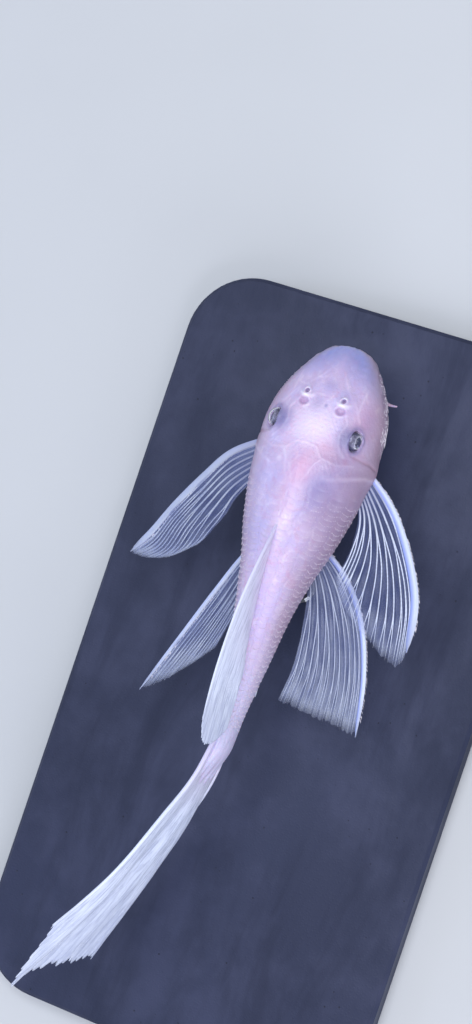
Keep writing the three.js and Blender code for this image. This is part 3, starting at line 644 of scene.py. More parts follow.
# Node trees
class Nodes:
    """Adds nodes to a tree with short calls; each call returns the new node's main output."""

    def __init__(self, tree):
        self.tree = tree

    def add(self, kind, inputs=None, output=0, **settings):
        node = self.tree.nodes.new(kind)
        for name, value in settings.items():
            setattr(node, name, value)
        for key, value in (inputs or {}).items():
            self.feed(node.inputs[key], value)
        return node.outputs[output]

    def feed(self, socket, value):
        if isinstance(value, bpy.types.NodeSocket):
            self.tree.links.new(value, socket)
        elif socket.type == "RGBA" and len(value) == 3:
            socket.default_value = (*value, 1)
        else:
            socket.default_value = value

    def place(self):
        return self.add("ShaderNodeTexCoord", output="Object")

    def value(self, name, factor=None):
        """A named value of the mesh, multiplied by a factor if one is given."""
        value = self.add("ShaderNodeAttribute", output="Fac", attribute_name=name)
        return value if factor is None else self.math("MULTIPLY", value, factor)

    def noise(self, scale, detail=3, roughness=0.55, vector=None, distortion=0):
        inputs = {"Vector": vector or self.place(), "Scale": scale, "Detail": detail,
                  "Roughness": roughness, "Distortion": distortion}
        return self.add("ShaderNodeTexNoise", inputs)

    def cells(self, scale, vector=None, feature="F1"):
        inputs = {"Vector": vector or self.place(), "Scale": scale}
        return self.add("ShaderNodeTexVoronoi", inputs, "Distance", feature=feature)

    def math(self, operation, first, second, clamp=False):
        return self.add("ShaderNodeMath", {0: first, 1: second}, operation=operation, use_clamp=clamp)

    def vector_math(self, operation, first, second):
        return self.add("ShaderNodeVectorMath", {0: first, 1: second}, operation=operation)

    def spread(self, value, low, high, to_low=0, to_high=1):
        inputs = {"Value": value, "From Min": low, "From Max": high, "To Min": to_low, "To Max": to_high}
        return self.add("ShaderNodeMapRange", inputs, interpolation_type="SMOOTHSTEP")

    def blend(self, share, first, second):
        node = self.tree.nodes.new("ShaderNodeMix")
        node.data_type = "RGBA"
        for socket, value in ((0, share), (6, first), (7, second)):
            self.feed(node.inputs[socket], value)
        return node.outputs[2]

    def tinted(self, colour, settings, tints):
        """A colour under tints in turn, each a named value, its strength and a colour of the settings."""
        for name, strength, tint in tints:
            colour = self.blend(self.value(name, strength), colour, getattr(settings, tint))
        return colour

    def stretched(self, factors):
        return self.add("ShaderNodeMapping", {"Vector": self.place(), "Scale": factors})

    def bump(self, height, strength, distance):
        inputs = {"Height": height, "Strength": strength, "Distance": distance}
        return self.add("ShaderNodeBump", inputs)

    def group(self, tree, inputs):
        node = self.tree.nodes.new("ShaderNodeGroup")
        node.node_tree = tree
        for key, value in inputs.items():
            self.feed(node.inputs[key], value)
        return node.outputs[0]

    def mottled(self, first, second, scale, amount):
        inputs = {"Colour": first, "Second Colour": second, "Scale": scale, "Amount": amount}
        return self.group(mottling_group(), inputs)

    def grain(self, scale, roughness):
        return self.group(grain_group(), {"Scale": scale, "Roughness": roughness})


def new_material(name):
    """A material with a bare Principled shader. Returns the material, its nodes and the shader."""
    material = bpy.data.materials.new(name)
    material.use_nodes = True
    tree = material.node_tree
    tree.nodes.clear()
    shader = tree.nodes.new("ShaderNodeBsdfPrincipled")
    output = tree.nodes.new("ShaderNodeOutputMaterial")
    tree.links.new(shader.outputs[0], output.inputs["Surface"])
    return material, Nodes(tree), shader


def dress(nodes, shader, **inputs):
    """Sets or links the shader's sockets; a socket's name has _ for each space."""
    for name, value in inputs.items():
        nodes.feed(shader.inputs[name.replace("_", " ")], value)


def shared_group(name, inputs, output, fill):
    """A shader node group with named inputs and one output, built when it is first asked for."""
    tree = bpy.data.node_groups.get(name)
    if tree:
        return tree
    tree = bpy.data.node_groups.new(name, "ShaderNodeTree")
    for socket_name, kind, default in inputs:
        socket = tree.interface.new_socket(socket_name, in_out="INPUT", socket_type=kind)
        socket.default_value = default
    tree.interface.new_socket(output[0], in_out="OUTPUT", socket_type=output[1])
    source = tree.nodes.new("NodeGroupInput")
    result = tree.nodes.new("NodeGroupOutput")
    tree.links.new(fill(Nodes(tree), source.outputs), result.inputs[output[0]])
    return tree


def mottling_group():
    """Uneven colour like that of living skin: two colours mixed by clouds of two sizes."""
    inputs = [
        ("Colour", "NodeSocketColor", (1, 1, 1, 1)), ("Second Colour", "NodeSocketColor", (1, 1, 1, 1)),
        ("Scale", "NodeSocketFloat", 100), ("Amount", "NodeSocketFloat", 0.5),
    ]

    def fill(nodes, given):
        broad = nodes.noise(given["Scale"], detail=4, distortion=0.6)
        fine = nodes.noise(nodes.math("MULTIPLY", given["Scale"], 4.5), detail=2)
        both = nodes.math("ADD", nodes.math("MULTIPLY", broad, 0.68), nodes.math("MULTIPLY", fine, 0.32))
        share = nodes.math("MULTIPLY", nodes.spread(both, 0.4, 0.62), given["Amount"])
        return nodes.blend(share, given["Colour"], given["Second Colour"])

    return shared_group("mottling", inputs, ("Colour", "NodeSocketColor"), fill)


def grain_group():
    """Fine raised grain as a height: rounded specks with small clouds between them."""
    inputs = [("Scale", "NodeSocketFloat", 2000), ("Roughness", "NodeSocketFloat", 0.5)]

    def fill(nodes, given):
        rounded = nodes.spread(nodes.cells(given["Scale"]), 0.55, 0.05)
        cloud = nodes.noise(nodes.math("MULTIPLY", given["Scale"], 0.35))
        return nodes.math("ADD", rounded, nodes.math("MULTIPLY", cloud, given["Roughness"]))

    return shared_group("grain", inputs, ("Height", "NodeSocketFloat"), fill)


# Tints of the skin in the order in which they cover one another: named value, strength and colour
BODY_TINTS = [
    # The tint of the snout's edge is painted shade.
    ("margin", 0.85, "margin_colour"), ("pale", 0.8, "pale_colour"), ("flush", 0.75, "flush_colour"),
    # The tint of the right back is painted shade.
    # The tint of the sides is painted shade.
    ("violet", 0.86, "violet_colour"), ("flank", 0.82, "painted_side_shade_colour"), ("dusk", 0.6, "painted_shade_and_spot_colour"),
    ("belly", 0.6, "belly_colour"), ("stern", 0.85, "stern_colour"), ("seam", 0.08, "violet_colour"),
    ("keel", 0.14, "pale_colour"), ("ridge", 0.24, "pale_colour"), ("shoulder", 0.2, "pale_colour"),
    # The tint of the gill slit is painted shade inside the slit.
    ("slit", 0.4, "slit_shade_colour"),
]
# The dark of the nostril's hole is painted shade of its cavity.
NOSTRIL_TINTS = [("collar", 0.9, "collar_colour"), ("hole", 0.75, "hole_shade_colour")]
LID_TINTS = [("thin_skin", 0.7, "orbit_colour"), ("lid", 0.4, "orbit_colour")]
VEINS = {"wander": 0.0014, "strength": 0.1}


def vein_share(nodes):
    """Share of the thin veins that wander under the skin in some places."""
    wander = nodes.add("ShaderNodeTexNoise", {"Vector": nodes.place(), "Scale": 500}, "Color")
    wander = nodes.vector_math("MULTIPLY", wander, [VEINS["wander"]] * 3)
    bent = nodes.vector_math("ADD", wander, nodes.place())
    veins = nodes.spread(nodes.cells(700, vector=bent, feature="DISTANCE_TO_EDGE"), 0.12, 0)
    zone = nodes.spread(nodes.noise(90, detail=1), 0.48, 0.62)
    return nodes.math("MULTIPLY", nodes.math("MULTIPLY", veins, zone), VEINS["strength"])


def skin_material(settings):
    """Soft pale lavender skin with pink and violet showing through it, and painted shade on its sides, its
    right back, its snout's edge, its nostril holes and its gill slits.
    """
    material, nodes, shader = new_material("pleco_skin")
    colour = nodes.mottled(settings.skin_colour, settings.mottle_colour, 200, 0.62)
    bloom = nodes.spread(nodes.noise(330, detail=4, distortion=1.2), 0.5, 0.72, 0, 0.4)
    colour = nodes.blend(bloom, colour, settings.flush_colour)
    milk = nodes.spread(nodes.noise(520, detail=5, distortion=0.8), 0.5, 0.72, 0, 0.45)
    colour = nodes.blend(milk, colour, settings.pale_colour)
    colour = nodes.blend(vein_share(nodes), colour, settings.violet_colour)
    colour = nodes.tinted(colour, settings, BODY_TINTS)
    uneven = nodes.spread(nodes.noise(2200), 0.35, 0.65, 0.45, 0.85)
    colour = nodes.blend(nodes.value("lining", uneven), colour, settings.lining_colour)
    colour = nodes.tinted(colour, settings, NOSTRIL_TINTS)
    orbit = nodes.spread(nodes.value("slot"), 1.7, 1.05, 0, 0.36)
    colour = nodes.blend(orbit, colour, settings.orbit_colour)
    colour = nodes.tinted(colour, settings, LID_TINTS)
    under_lid = nodes.spread(nodes.value("slot"), 0.98, 0.9)
    colour = nodes.blend(under_lid, colour, settings.eyeball_colour)
    roughness = nodes.spread(nodes.noise(700, detail=2), 0.3, 0.7, 0.34, 0.5)
    dress(nodes, shader, Base_Color=colour, Roughness=roughness, Subsurface_Weight=0.3,
          Subsurface_Radius=(1.0, 0.45, 0.55), Subsurface_Scale=0.0011, Coat_Weight=0.25,
          Coat_Roughness=0.22, Normal=nodes.bump(nodes.grain(3400, 0.9), 0.35, 0.00006))
    return material


def streaks_along(nodes):
    """Uneven streaks that run along a fin's rays."""
    inputs = {"X": nodes.value("across", 0.5), "Y": nodes.value("along", 0.07)}
    place = nodes.add("ShaderNodeCombineXYZ", inputs)
    return nodes.noise(2.4, detail=4, roughness=0.6, vector=place)


def web_material(settings):
    """Clear bluish membrane between the fin rays, milky where its tone is high."""
    material, nodes, shader = new_material("fin_web")
    streak = streaks_along(nodes)
    share = nodes.math("ADD", nodes.value("tone"), nodes.spread(streak, 0.3, 0.7, -0.16, 0.16), clamp=True)
    colour = nodes.blend(share, settings.web_colour, settings.web_light_colour)
    colour = nodes.blend(nodes.value("blush"), colour, settings.blush_colour)
    haze = nodes.spread(streak, 0.3, 0.7, 0.8, 1.16)
    alpha = nodes.math("MULTIPLY", nodes.value("haze"), haze, clamp=True)
    dress(nodes, shader, Base_Color=colour, Roughness=0.3, Alpha=alpha, Coat_Weight=0.15,
          Coat_Roughness=0.15, Subsurface_Weight=0.12, Subsurface_Radius=(0.9, 0.9, 1.0),
          Subsurface_Scale=0.0005, Normal=nodes.bump(nodes.grain(1500, 0.8), 0.15, 0.00005))
    return material


def ray_material(settings):
    """Milky fin rays with a clearer line at each joint and a bluer inner side on the spines."""
    material, nodes, shader = new_material("fin_ray")
    colour = nodes.mottled(settings.ray_colour, settings.web_light_colour, 420, 0.5)
    streak = nodes.spread(streaks_along(nodes), 0.35, 0.7, 0.12, 0)
    colour = nodes.blend(streak, colour, settings.joint_colour)
    colour = nodes.tinted(colour, settings, [
        ("joint", 0.25, "joint_colour"), ("root", 0.5, "root_colour"), ("blush", 1, "blush_colour"),
        ("inner", 0.92, "spine_colour"),
    ])
    dress(nodes, shader, Base_Color=colour, Roughness=0.32, Alpha=nodes.value("solid"),
          Subsurface_Weight=0.15, Subsurface_Radius=(0.8, 0.8, 1.0), Subsurface_Scale=0.0004,
          Coat_Weight=0.25, Coat_Roughness=0.2, Normal=nodes.bump(nodes.grain(3200, 0.5), 0.25, 0.00004))
    return material


PRICKLE_COLOURS = {"root": (0.72, 0.6, 0.72), "tip": (0.93, 0.93, 0.98)}


def prickle_material():
    """Glassy white of the small tooth-like spines."""
    material, nodes, shader = new_material("prickle")
    colour = nodes.blend(nodes.value("tip"), PRICKLE_COLOURS["root"], PRICKLE_COLOURS["tip"])
    rough = nodes.spread(nodes.noise(3000), 0.3, 0.7, 0.18, 0.32)
    dress(nodes, shader, Base_Color=colour, Roughness=rough, Subsurface_Weight=0.2,
          Subsurface_Radius=(0.8, 0.8, 1.0), Subsurface_Scale=0.0003, Coat_Weight=0.4)
    return material


# Small tooth-like spines
BLUNTEST_TIP = 0.012
CHEEK_PATCH = {
    "rows": 5, "per_row": 9, "front": 9.6, "pitch": 0.72, "top": ROOF_SHARE - 0.085, "row_step": 0.034,
    "uneven": 0.15, "sunk": 0.35, "radius": 0.1, "front_length": 0.3, "rear_length": 0.75,
    "extra_length": 0.35,
}
MARGIN_EDGE = {"count": 260, "from": 3.5, "to": 19, "spread": 0.05, "sunk": 0.02, "radius": 0.05}
PLATE_EDGE = {"per_plate": 20, "rear": 0.86, "keel_ahead": 0.45, "pitch": 0.09, "radius": 0.045, "tip": 0.3}
STRAIGHT_BACK = np.array([-1.0, 0, 0])


def prickles(roots, leans, lengths, radius, lifts, sides=5, steps=4):
    """Curved tapered spines: each leaves its root along lifts and bends over towards leans."""
    places = np.linspace(0, 1, steps)
    share = places[None, :, None]
    middle = roots + lifts * lengths[:, None] * 0.5
    tips = roots + leans * lengths[:, None]
    paths = (roots[:, None] * (1 - share) ** 2 + 2 * middle[:, None] * share * (1 - share)
             + tips[:, None] * share ** 2)
    widths = np.full((len(roots), 1), radius) * (1 - places[None]) ** 0.7 + BLUNTEST_TIP
    ups = np.broadcast_to(np.cross(leans, lifts)[:, None] + 1e-6, paths.shape)
    tip = np.broadcast_to(places, widths.shape)
    return tubes(paths, ups, widths, widths, sides, 0, {"tip": tip})


def cheek_prickles(random):
    """The patch of hooked spines on each cheek, longest at its rear, leaning out and back."""
    patch = CHEEK_PATCH
    rows, per_row = patch["rows"], patch["per_row"]
    row, place = (axis.ravel() for axis in np.indices((rows, per_row)))
    shapes = []
    for side in (1, -1):
        uneven = random.uniform(-patch["uneven"], patch["uneven"], row.size)
        s = patch["front"] + patch["pitch"] * (place + 0.5 * (row % 2)) + uneven
        t = patch["top"] + patch["row_step"] * row
        outward = side_normal(s, t)
        roots = side_point(s, t) - outward * patch["sunk"]
        leans = np.stack([np.full(row.size, -0.95), np.full(row.size, 0.42), 0.02 - 0.06 * row], -1)
        leans = unit(leans + random.normal(0, 0.08, leans.shape))
        growth = patch["front_length"] + patch["rear_length"] * place / per_row
        lengths = growth * random.uniform(0.8, 1.15, row.size) + patch["extra_length"]
        roots, leans, outward = on_side(side, roots, leans, outward)
        shapes.append(prickles(roots, leans, lengths, patch["radius"], outward, sides=6, steps=5))
    return shapes


def margin_prickles(random):
    """Very small teeth along the edge of the snout and the cheeks."""
    edge = MARGIN_EDGE
    shapes = []
    for side in (1, -1):
        s = random.uniform(edge["from"], edge["to"], edge["count"])
        t = ROOF_SHARE - 0.01 + random.normal(0, edge["spread"], edge["count"])
        outward = side_normal(s, t)
        roots = side_point(s, t) - outward * edge["sunk"]
        leans = unit(outward * 0.7 + 0.8 * STRAIGHT_BACK + random.normal(0, 0.1, outward.shape))
        lengths = random.uniform(0.12, 0.24, edge["count"])
        roots, leans, outward = on_side(side, roots, leans, outward)
        shapes.append(prickles(roots, leans, lengths, edge["radius"], outward))
    return shapes


def plate_prickles(random):
    """Rows of tiny spines along the plates' keels and rear edges."""
    edge = PLATE_EDGE
    size = (PLATES["rows"], PLATES["count"] - 2, edge["per_plate"])
    row, plate, spot = (axis.ravel() for axis in np.indices(size))
    on_keel = spot % 2
    across_middle = (edge["per_plate"] // 2 - 1) / 2
    shapes = []
    for side in (1, -1):
        across = 0.5 + (spot // 2 - across_middle) * edge["pitch"] + random.uniform(-0.03, 0.03, row.size)
        across = np.clip(across, 0.08, 0.92)
        along = plate + 1 + edge["rear"] - edge["keel_ahead"] * on_keel - ROW_OFFSETS[row]
        s = PLATES["start"] + PLATE_PITCH * along - plate_bow(across) + random.uniform(-0.1, 0.05, row.size)
        t = (row + across) * PLATE_ROW
        kept = (s > PLATES["start"] + 2) & (s < STANDARD_LENGTH - 1) & (t < PLATES["end"] * 0.94)
        s, t = s[kept], t[kept]
        outward = side_normal(s, t)
        roots = side_point(s, t)
        roots[:, 1] += side * spine_y(roots[:, 0])
        leans = unit(outward * 0.42 + STRAIGHT_BACK + random.normal(0, 0.08, outward.shape))
        lengths = random.uniform(0.17, 0.29, s.size)
        roots, leans, outward = on_side(side, roots, leans, outward)
        shape = prickles(roots, leans, lengths, edge["radius"], outward, sides=4)
        shape.values["tip"] = edge["tip"] * shape.values["tip"]
        shapes.append(shape)
    return shapes


# Fins
SURFACE_STEPS = {"across": 181, "along": 161}


class FinSurface:
    """A fin's middle surface: u runs across its rays from front to rear, v along them from the root."""

    def __init__(self, guides, folds):
        guides = np.array(guides, float)
        shares = np.linspace(0, 1, SURFACE_STEPS["across"])
        places = np.linspace(0, 1, SURFACE_STEPS["along"])
        levels = [curve_through(guides[:, level], shares) for level in range(guides.shape[1])]
        self.points = np.stack([curve_through(row, places) for row in np.stack(levels, axis=1)])
        self.normals = self.find_normals()
        for height, waves, phase in folds:
            wave = np.sin(2 * np.pi * (waves * shares[:, None] + phase))
            lift = height * wave * smooth_step(0.12, 0.9, places)
            self.points = self.points + self.normals * lift[..., None]
        self.normals = self.find_normals()
        third = self.points[SURFACE_STEPS["across"] // 3]
        self.length = np.linalg.norm(np.diff(third, axis=0), axis=1).sum()

    def find_normals(self):
        return unit(np.cross(np.gradient(self.points, axis=1), np.gradient(self.points, axis=0)))

    def look_up(self, table, u, v):
        rows, columns = table.shape[:2]
        a = np.clip(u, 0, 1) * (rows - 1)
        b = np.clip(v, 0, 1) * (columns - 1)
        i = np.minimum(a.astype(int), rows - 2)
        j = np.minimum(b.astype(int), columns - 2)
        fa, fb = (a - i)[..., None], (b - j)[..., None]
        return ((table[i, j] * (1 - fb) + table[i, j + 1] * fb) * (1 - fa)
                + (table[i + 1, j] * (1 - fb) + table[i + 1, j + 1] * fb) * fa)

    def at(self, u, v):
        """Points and normals at places of the surface."""
        u, v = np.broadcast_arrays(np.asarray(u, float), np.asarray(v, float))
        return self.look_up(self.points, u, v), unit(self.look_up(self.normals, u, v))

    def find_y(self, x, z):
        """The y of an upright fin's surface at given x and z near its root."""
        u = np.full(x.shape, 0.5)
        v = np.full(x.shape, 0.1)
        for _ in range(16):
            points, _ = self.at(u, v)
            u = np.clip(u + (points[..., 2] - z) / 10, 0, 1)
            v = np.clip(v + (points[..., 0] - x) / self.length, 0, 1)
        return points[..., 1]


# Rays: length and steps of a joint, sides of a ray and of a spine, and how far its branches spread
JOINT_LENGTH = 0.8
JOINT_STEPS = 3
RAY_SIDES = 8
SPINE_SIDES = 16
FORK_SPREADS = (0.23, 0.1)
WEB_STEPS = {"between_lines": 8, "along": 84}
SPINE_PRICKLES = {"count": 90, "from": 0.1, "to": 0.93, "radius": 0.055}


def blush_along(fin, v):
    """Share of the skin's colour in a fin, from its root outwards."""
    at_root, at_end, far = fin["blush"]
    return at_end + (at_root - at_end) * smooth_step(far, 0.05, v)


def end_cut(fin, u):
    """How much shorter a fin with a rounded end is at its front and rear."""
    return fin["round"] * np.abs(2 * u - 1) ** 2.5


def ray_line(surface, u, start, end, widths, fin, flat, sides=RAY_SIDES, inner=0, joints=1):
    """One ray or branch as a jointed tube; u and widths are functions of v. inner is the side turned blue."""
    steps = max(9, int(surface.length * (end - start) / JOINT_LENGTH) * JOINT_STEPS + 1)
    v = np.linspace(start, end, steps)
    points, normals = surface.at(u(v), v)
    joint = joints * ((np.arange(steps) % JOINT_STEPS) == 0) * smooth_step(0.2, 0.4, v)
    taper = 0.3 + 0.7 * smooth_step(end + 1e-3, end - 0.05, v)
    half = widths(v) * (1 - 0.08 * joint) * taper
    root_solid, solid, end_solid = fin["solid"]
    opaque = root_solid + (solid - root_solid) * smooth_step(0.1, 0.4, v)
    opaque = opaque + (end_solid - opaque) * smooth_step(0.8, 0.98, v)
    values = {
        "joint": joint, "root": smooth_step(0.34, 0.05, v), "solid": opaque, "blush": blush_along(fin, v),
        "across": 2 * fin["soft_rays"] * u(v), "along": surface.length * v,
    }
    shape = tubes(points[None], normals[None], half[None], flat * half[None], sides, 1, values)
    turned = abs(inner) * (0.5 + 0.5 * np.sign(inner) * np.cos(turns(sides)))
    shape.values["inner"] = np.append(np.tile(turned, steps), [0, 0])
    return shape


def soft_ray(surface, middle, spacing, settings, fin, random):
    """A branched ray: it forks once or twice, and each branch runs on to the fin's edge."""
    first_fork = fin["forks"][0] + random.uniform(-0.07, 0.07)
    second_forks = fin["forks"][1] + random.uniform(-0.12, 0.12, 2)
    width = fin["ray"] * settings.ray_width / MM / 2

    def branch(first, second):
        second_fork = second_forks[(first + 1) // 2]

        def u(v):
            spread_one = FORK_SPREADS[0] * spacing * first * smooth_step(first_fork, first_fork + 0.3, v)
            spread_two = FORK_SPREADS[1] * spacing * second * smooth_step(second_fork, second_fork + 0.25, v)
            return np.clip(middle + spread_one + spread_two, 0.004, 0.996)

        def widths(v):
            thinner = 1 - 0.1 * smooth_step(0, first_fork, v)
            thinner = thinner * (1 - 0.28 * smooth_step(first_fork, first_fork + 0.12, v))
            thinner = thinner * (1 - 0.25 * smooth_step(second_fork, second_fork + 0.12, v))
            return width * thinner * (1 - 0.15 * v)

        start = 0 if (first, second) == (1, 1) else first_fork - 0.01 if second == 1 else second_fork - 0.01
        short = fin["notch"] * (fin["tuck"] + random.uniform(0.0, 0.7))
        end = 1 - short - end_cut(fin, u(np.ones(1))[0])
        return ray_line(surface, u, start, end, widths, fin, fin["flat"])

    return [branch(1, 1), branch(-1, 1), branch(1, -1), branch(-1, -1)]


def spine_width(fin):
    """Width of the fin's first ray along its length."""
    return smooth_profile(list(zip((0, 0.35, 0.85, 1), fin["spine"])))


def spine_ray(surface, u_place, fin, inner):
    """The thick unbranched ray at a fin's edge, whiter on its outer side."""
    width = spine_width(fin)
    end = 1 - end_cut(fin, u_place)
    return ray_line(surface, lambda v: np.full(v.shape, u_place), 0, end, lambda v: width(v / end) / 2,
                    fin | {"solid": fin["spine_solid"]}, fin["spine_flat"], SPINE_SIDES, inner, joints=0.1)


def spine_prickles(surface, u_place, fin, random):
    """Small spines along the outer edge of a paired fin's first ray, longer towards its tip."""
    count = SPINE_PRICKLES["count"]
    v = np.sort(random.uniform(SPINE_PRICKLES["from"], SPINE_PRICKLES["to"], count))
    points, normals = surface.at(np.full(count, u_place), v)
    ahead, _ = surface.at(np.full(count, u_place), v + 0.01)
    along = unit(ahead - points)
    edge = unit(np.cross(along, normals)) * fin["prickles"]
    tilt = random.uniform(-0.9, 0.9, count)[:, None]
    outward = unit(edge + normals * tilt * fin["spine_flat"])
    roots = points + edge * (spine_width(fin)(v) * 0.42)[:, None]
    lengths = random.uniform(0.28, 0.45, count) + 0.2 * v
    return prickles(roots, unit(outward * 0.75 + along), lengths, SPINE_PRICKLES["radius"], outward)


def web_sheet(surface, lines, settings, fin):
    """The membrane: a thin closed sheet that dips between the rays and is uneven at its edge."""
    columns = WEB_STEPS["between_lines"] * lines + 1
    rows = WEB_STEPS["along"]
    u, share = np.meshgrid(np.linspace(0, 1, columns), np.linspace(0, 1, rows), indexing="ij")
    between = 0.5 - 0.5 * np.cos(2 * np.pi * u * lines)
    fray = 0.35 * ripple(np.stack([u * 40, u * 0, u * 0], -1), 3.0, fin["seed"])
    reach = 1 - fin["notch"] * (0.3 + 0.45 * between + np.clip(fray, -0.3, 0.4)) - end_cut(fin, u)
    points, normals = surface.at(u, share * reach)
    sag = settings.web_sag / MM * fin["sag"] * between * smooth_step(0, 0.2, share)
    wave = fin["wave"] * ripple(points, 5.0, fin["seed"] + 1) * smooth_step(0.1, 0.7, share)
    points = points + normals * (sag + wave)[..., None]
    thin = settings.web_thickness / MM / 2 * fin["thick"] * (1 - 0.5 * share)
    upper = points + normals * thin[..., None]
    lower = points - normals * thin[..., None]
    count = columns * rows
    faces = grid_faces(columns, rows) + grid_faces(columns, rows, start=count, flip=True)
    number = np.arange(count).reshape(columns, rows)
    border = [*number[0], *number[1:, -1], *number[-1, -2::-1], *number[-2:0:-1, 0]]
    border = [int(corner) for corner in border]
    for here, after in zip(border, border[1:] + border[:1]):
        faces.append((after, here, here + count, after + count))
    base, at_root, at_end, at_front, at_rear = fin["haze"]
    haze = (base + at_root * smooth_step(0.32, 0.04, share) + at_end * smooth_step(0.72, 1, share)
            + at_front * smooth_step(0.3, 0, u) + at_rear * smooth_step(0.4, 0.95, u))
    haze = haze * (1 - fin["soft_edge"] * smooth_step(0.93, 1, share))
    dip_tone = fin["lines"] * between * smooth_step(0, 0.2, share)
    tone = np.minimum(fin["tone"] + 0.4 * smooth_step(0.7, 1, share), 1) - dip_tone
    values = {"haze": np.clip(haze, 0, 1), "tone": np.clip(tone, 0, 1), "across": u * lines,
              "along": share * surface.length, "blush": blush_along(fin, share)}
    values = {name: np.tile(value.ravel(), 2) for name, value in values.items()}
    return Shape(np.concatenate([upper.reshape(-1, 3), lower.reshape(-1, 3)]), faces, 0, values)


def fin_shape(fin, settings):
    """Membrane, spines, branched rays and prickles of one fin as one shape."""
    fin = FIN_DEFAULTS | fin
    random = np.random.default_rng(fin["seed"])
    surface = FinSurface(fin["guides"], fin["folds"])
    soft = fin["soft_rays"]
    spacing = 1 / (soft + 0.35)
    edge = fin["spine_inset"]
    shapes = [web_sheet(surface, 2 * soft + 1, settings, fin), spine_ray(surface, edge, fin, fin["inner"])]
    for i in range(soft):
        shapes += soft_ray(surface, spacing * (i + 0.85), spacing, settings, fin, random)
    if fin["rear_spine"]:
        shapes.append(spine_ray(surface, 1 - edge, fin, -fin["inner"]))
    if fin["prickles"]:
        thorns = spine_prickles(surface, edge, fin, random)
        thorns.finish = [2] * len(thorns.faces)
        shapes.append(thorns)
    return joined(shapes)


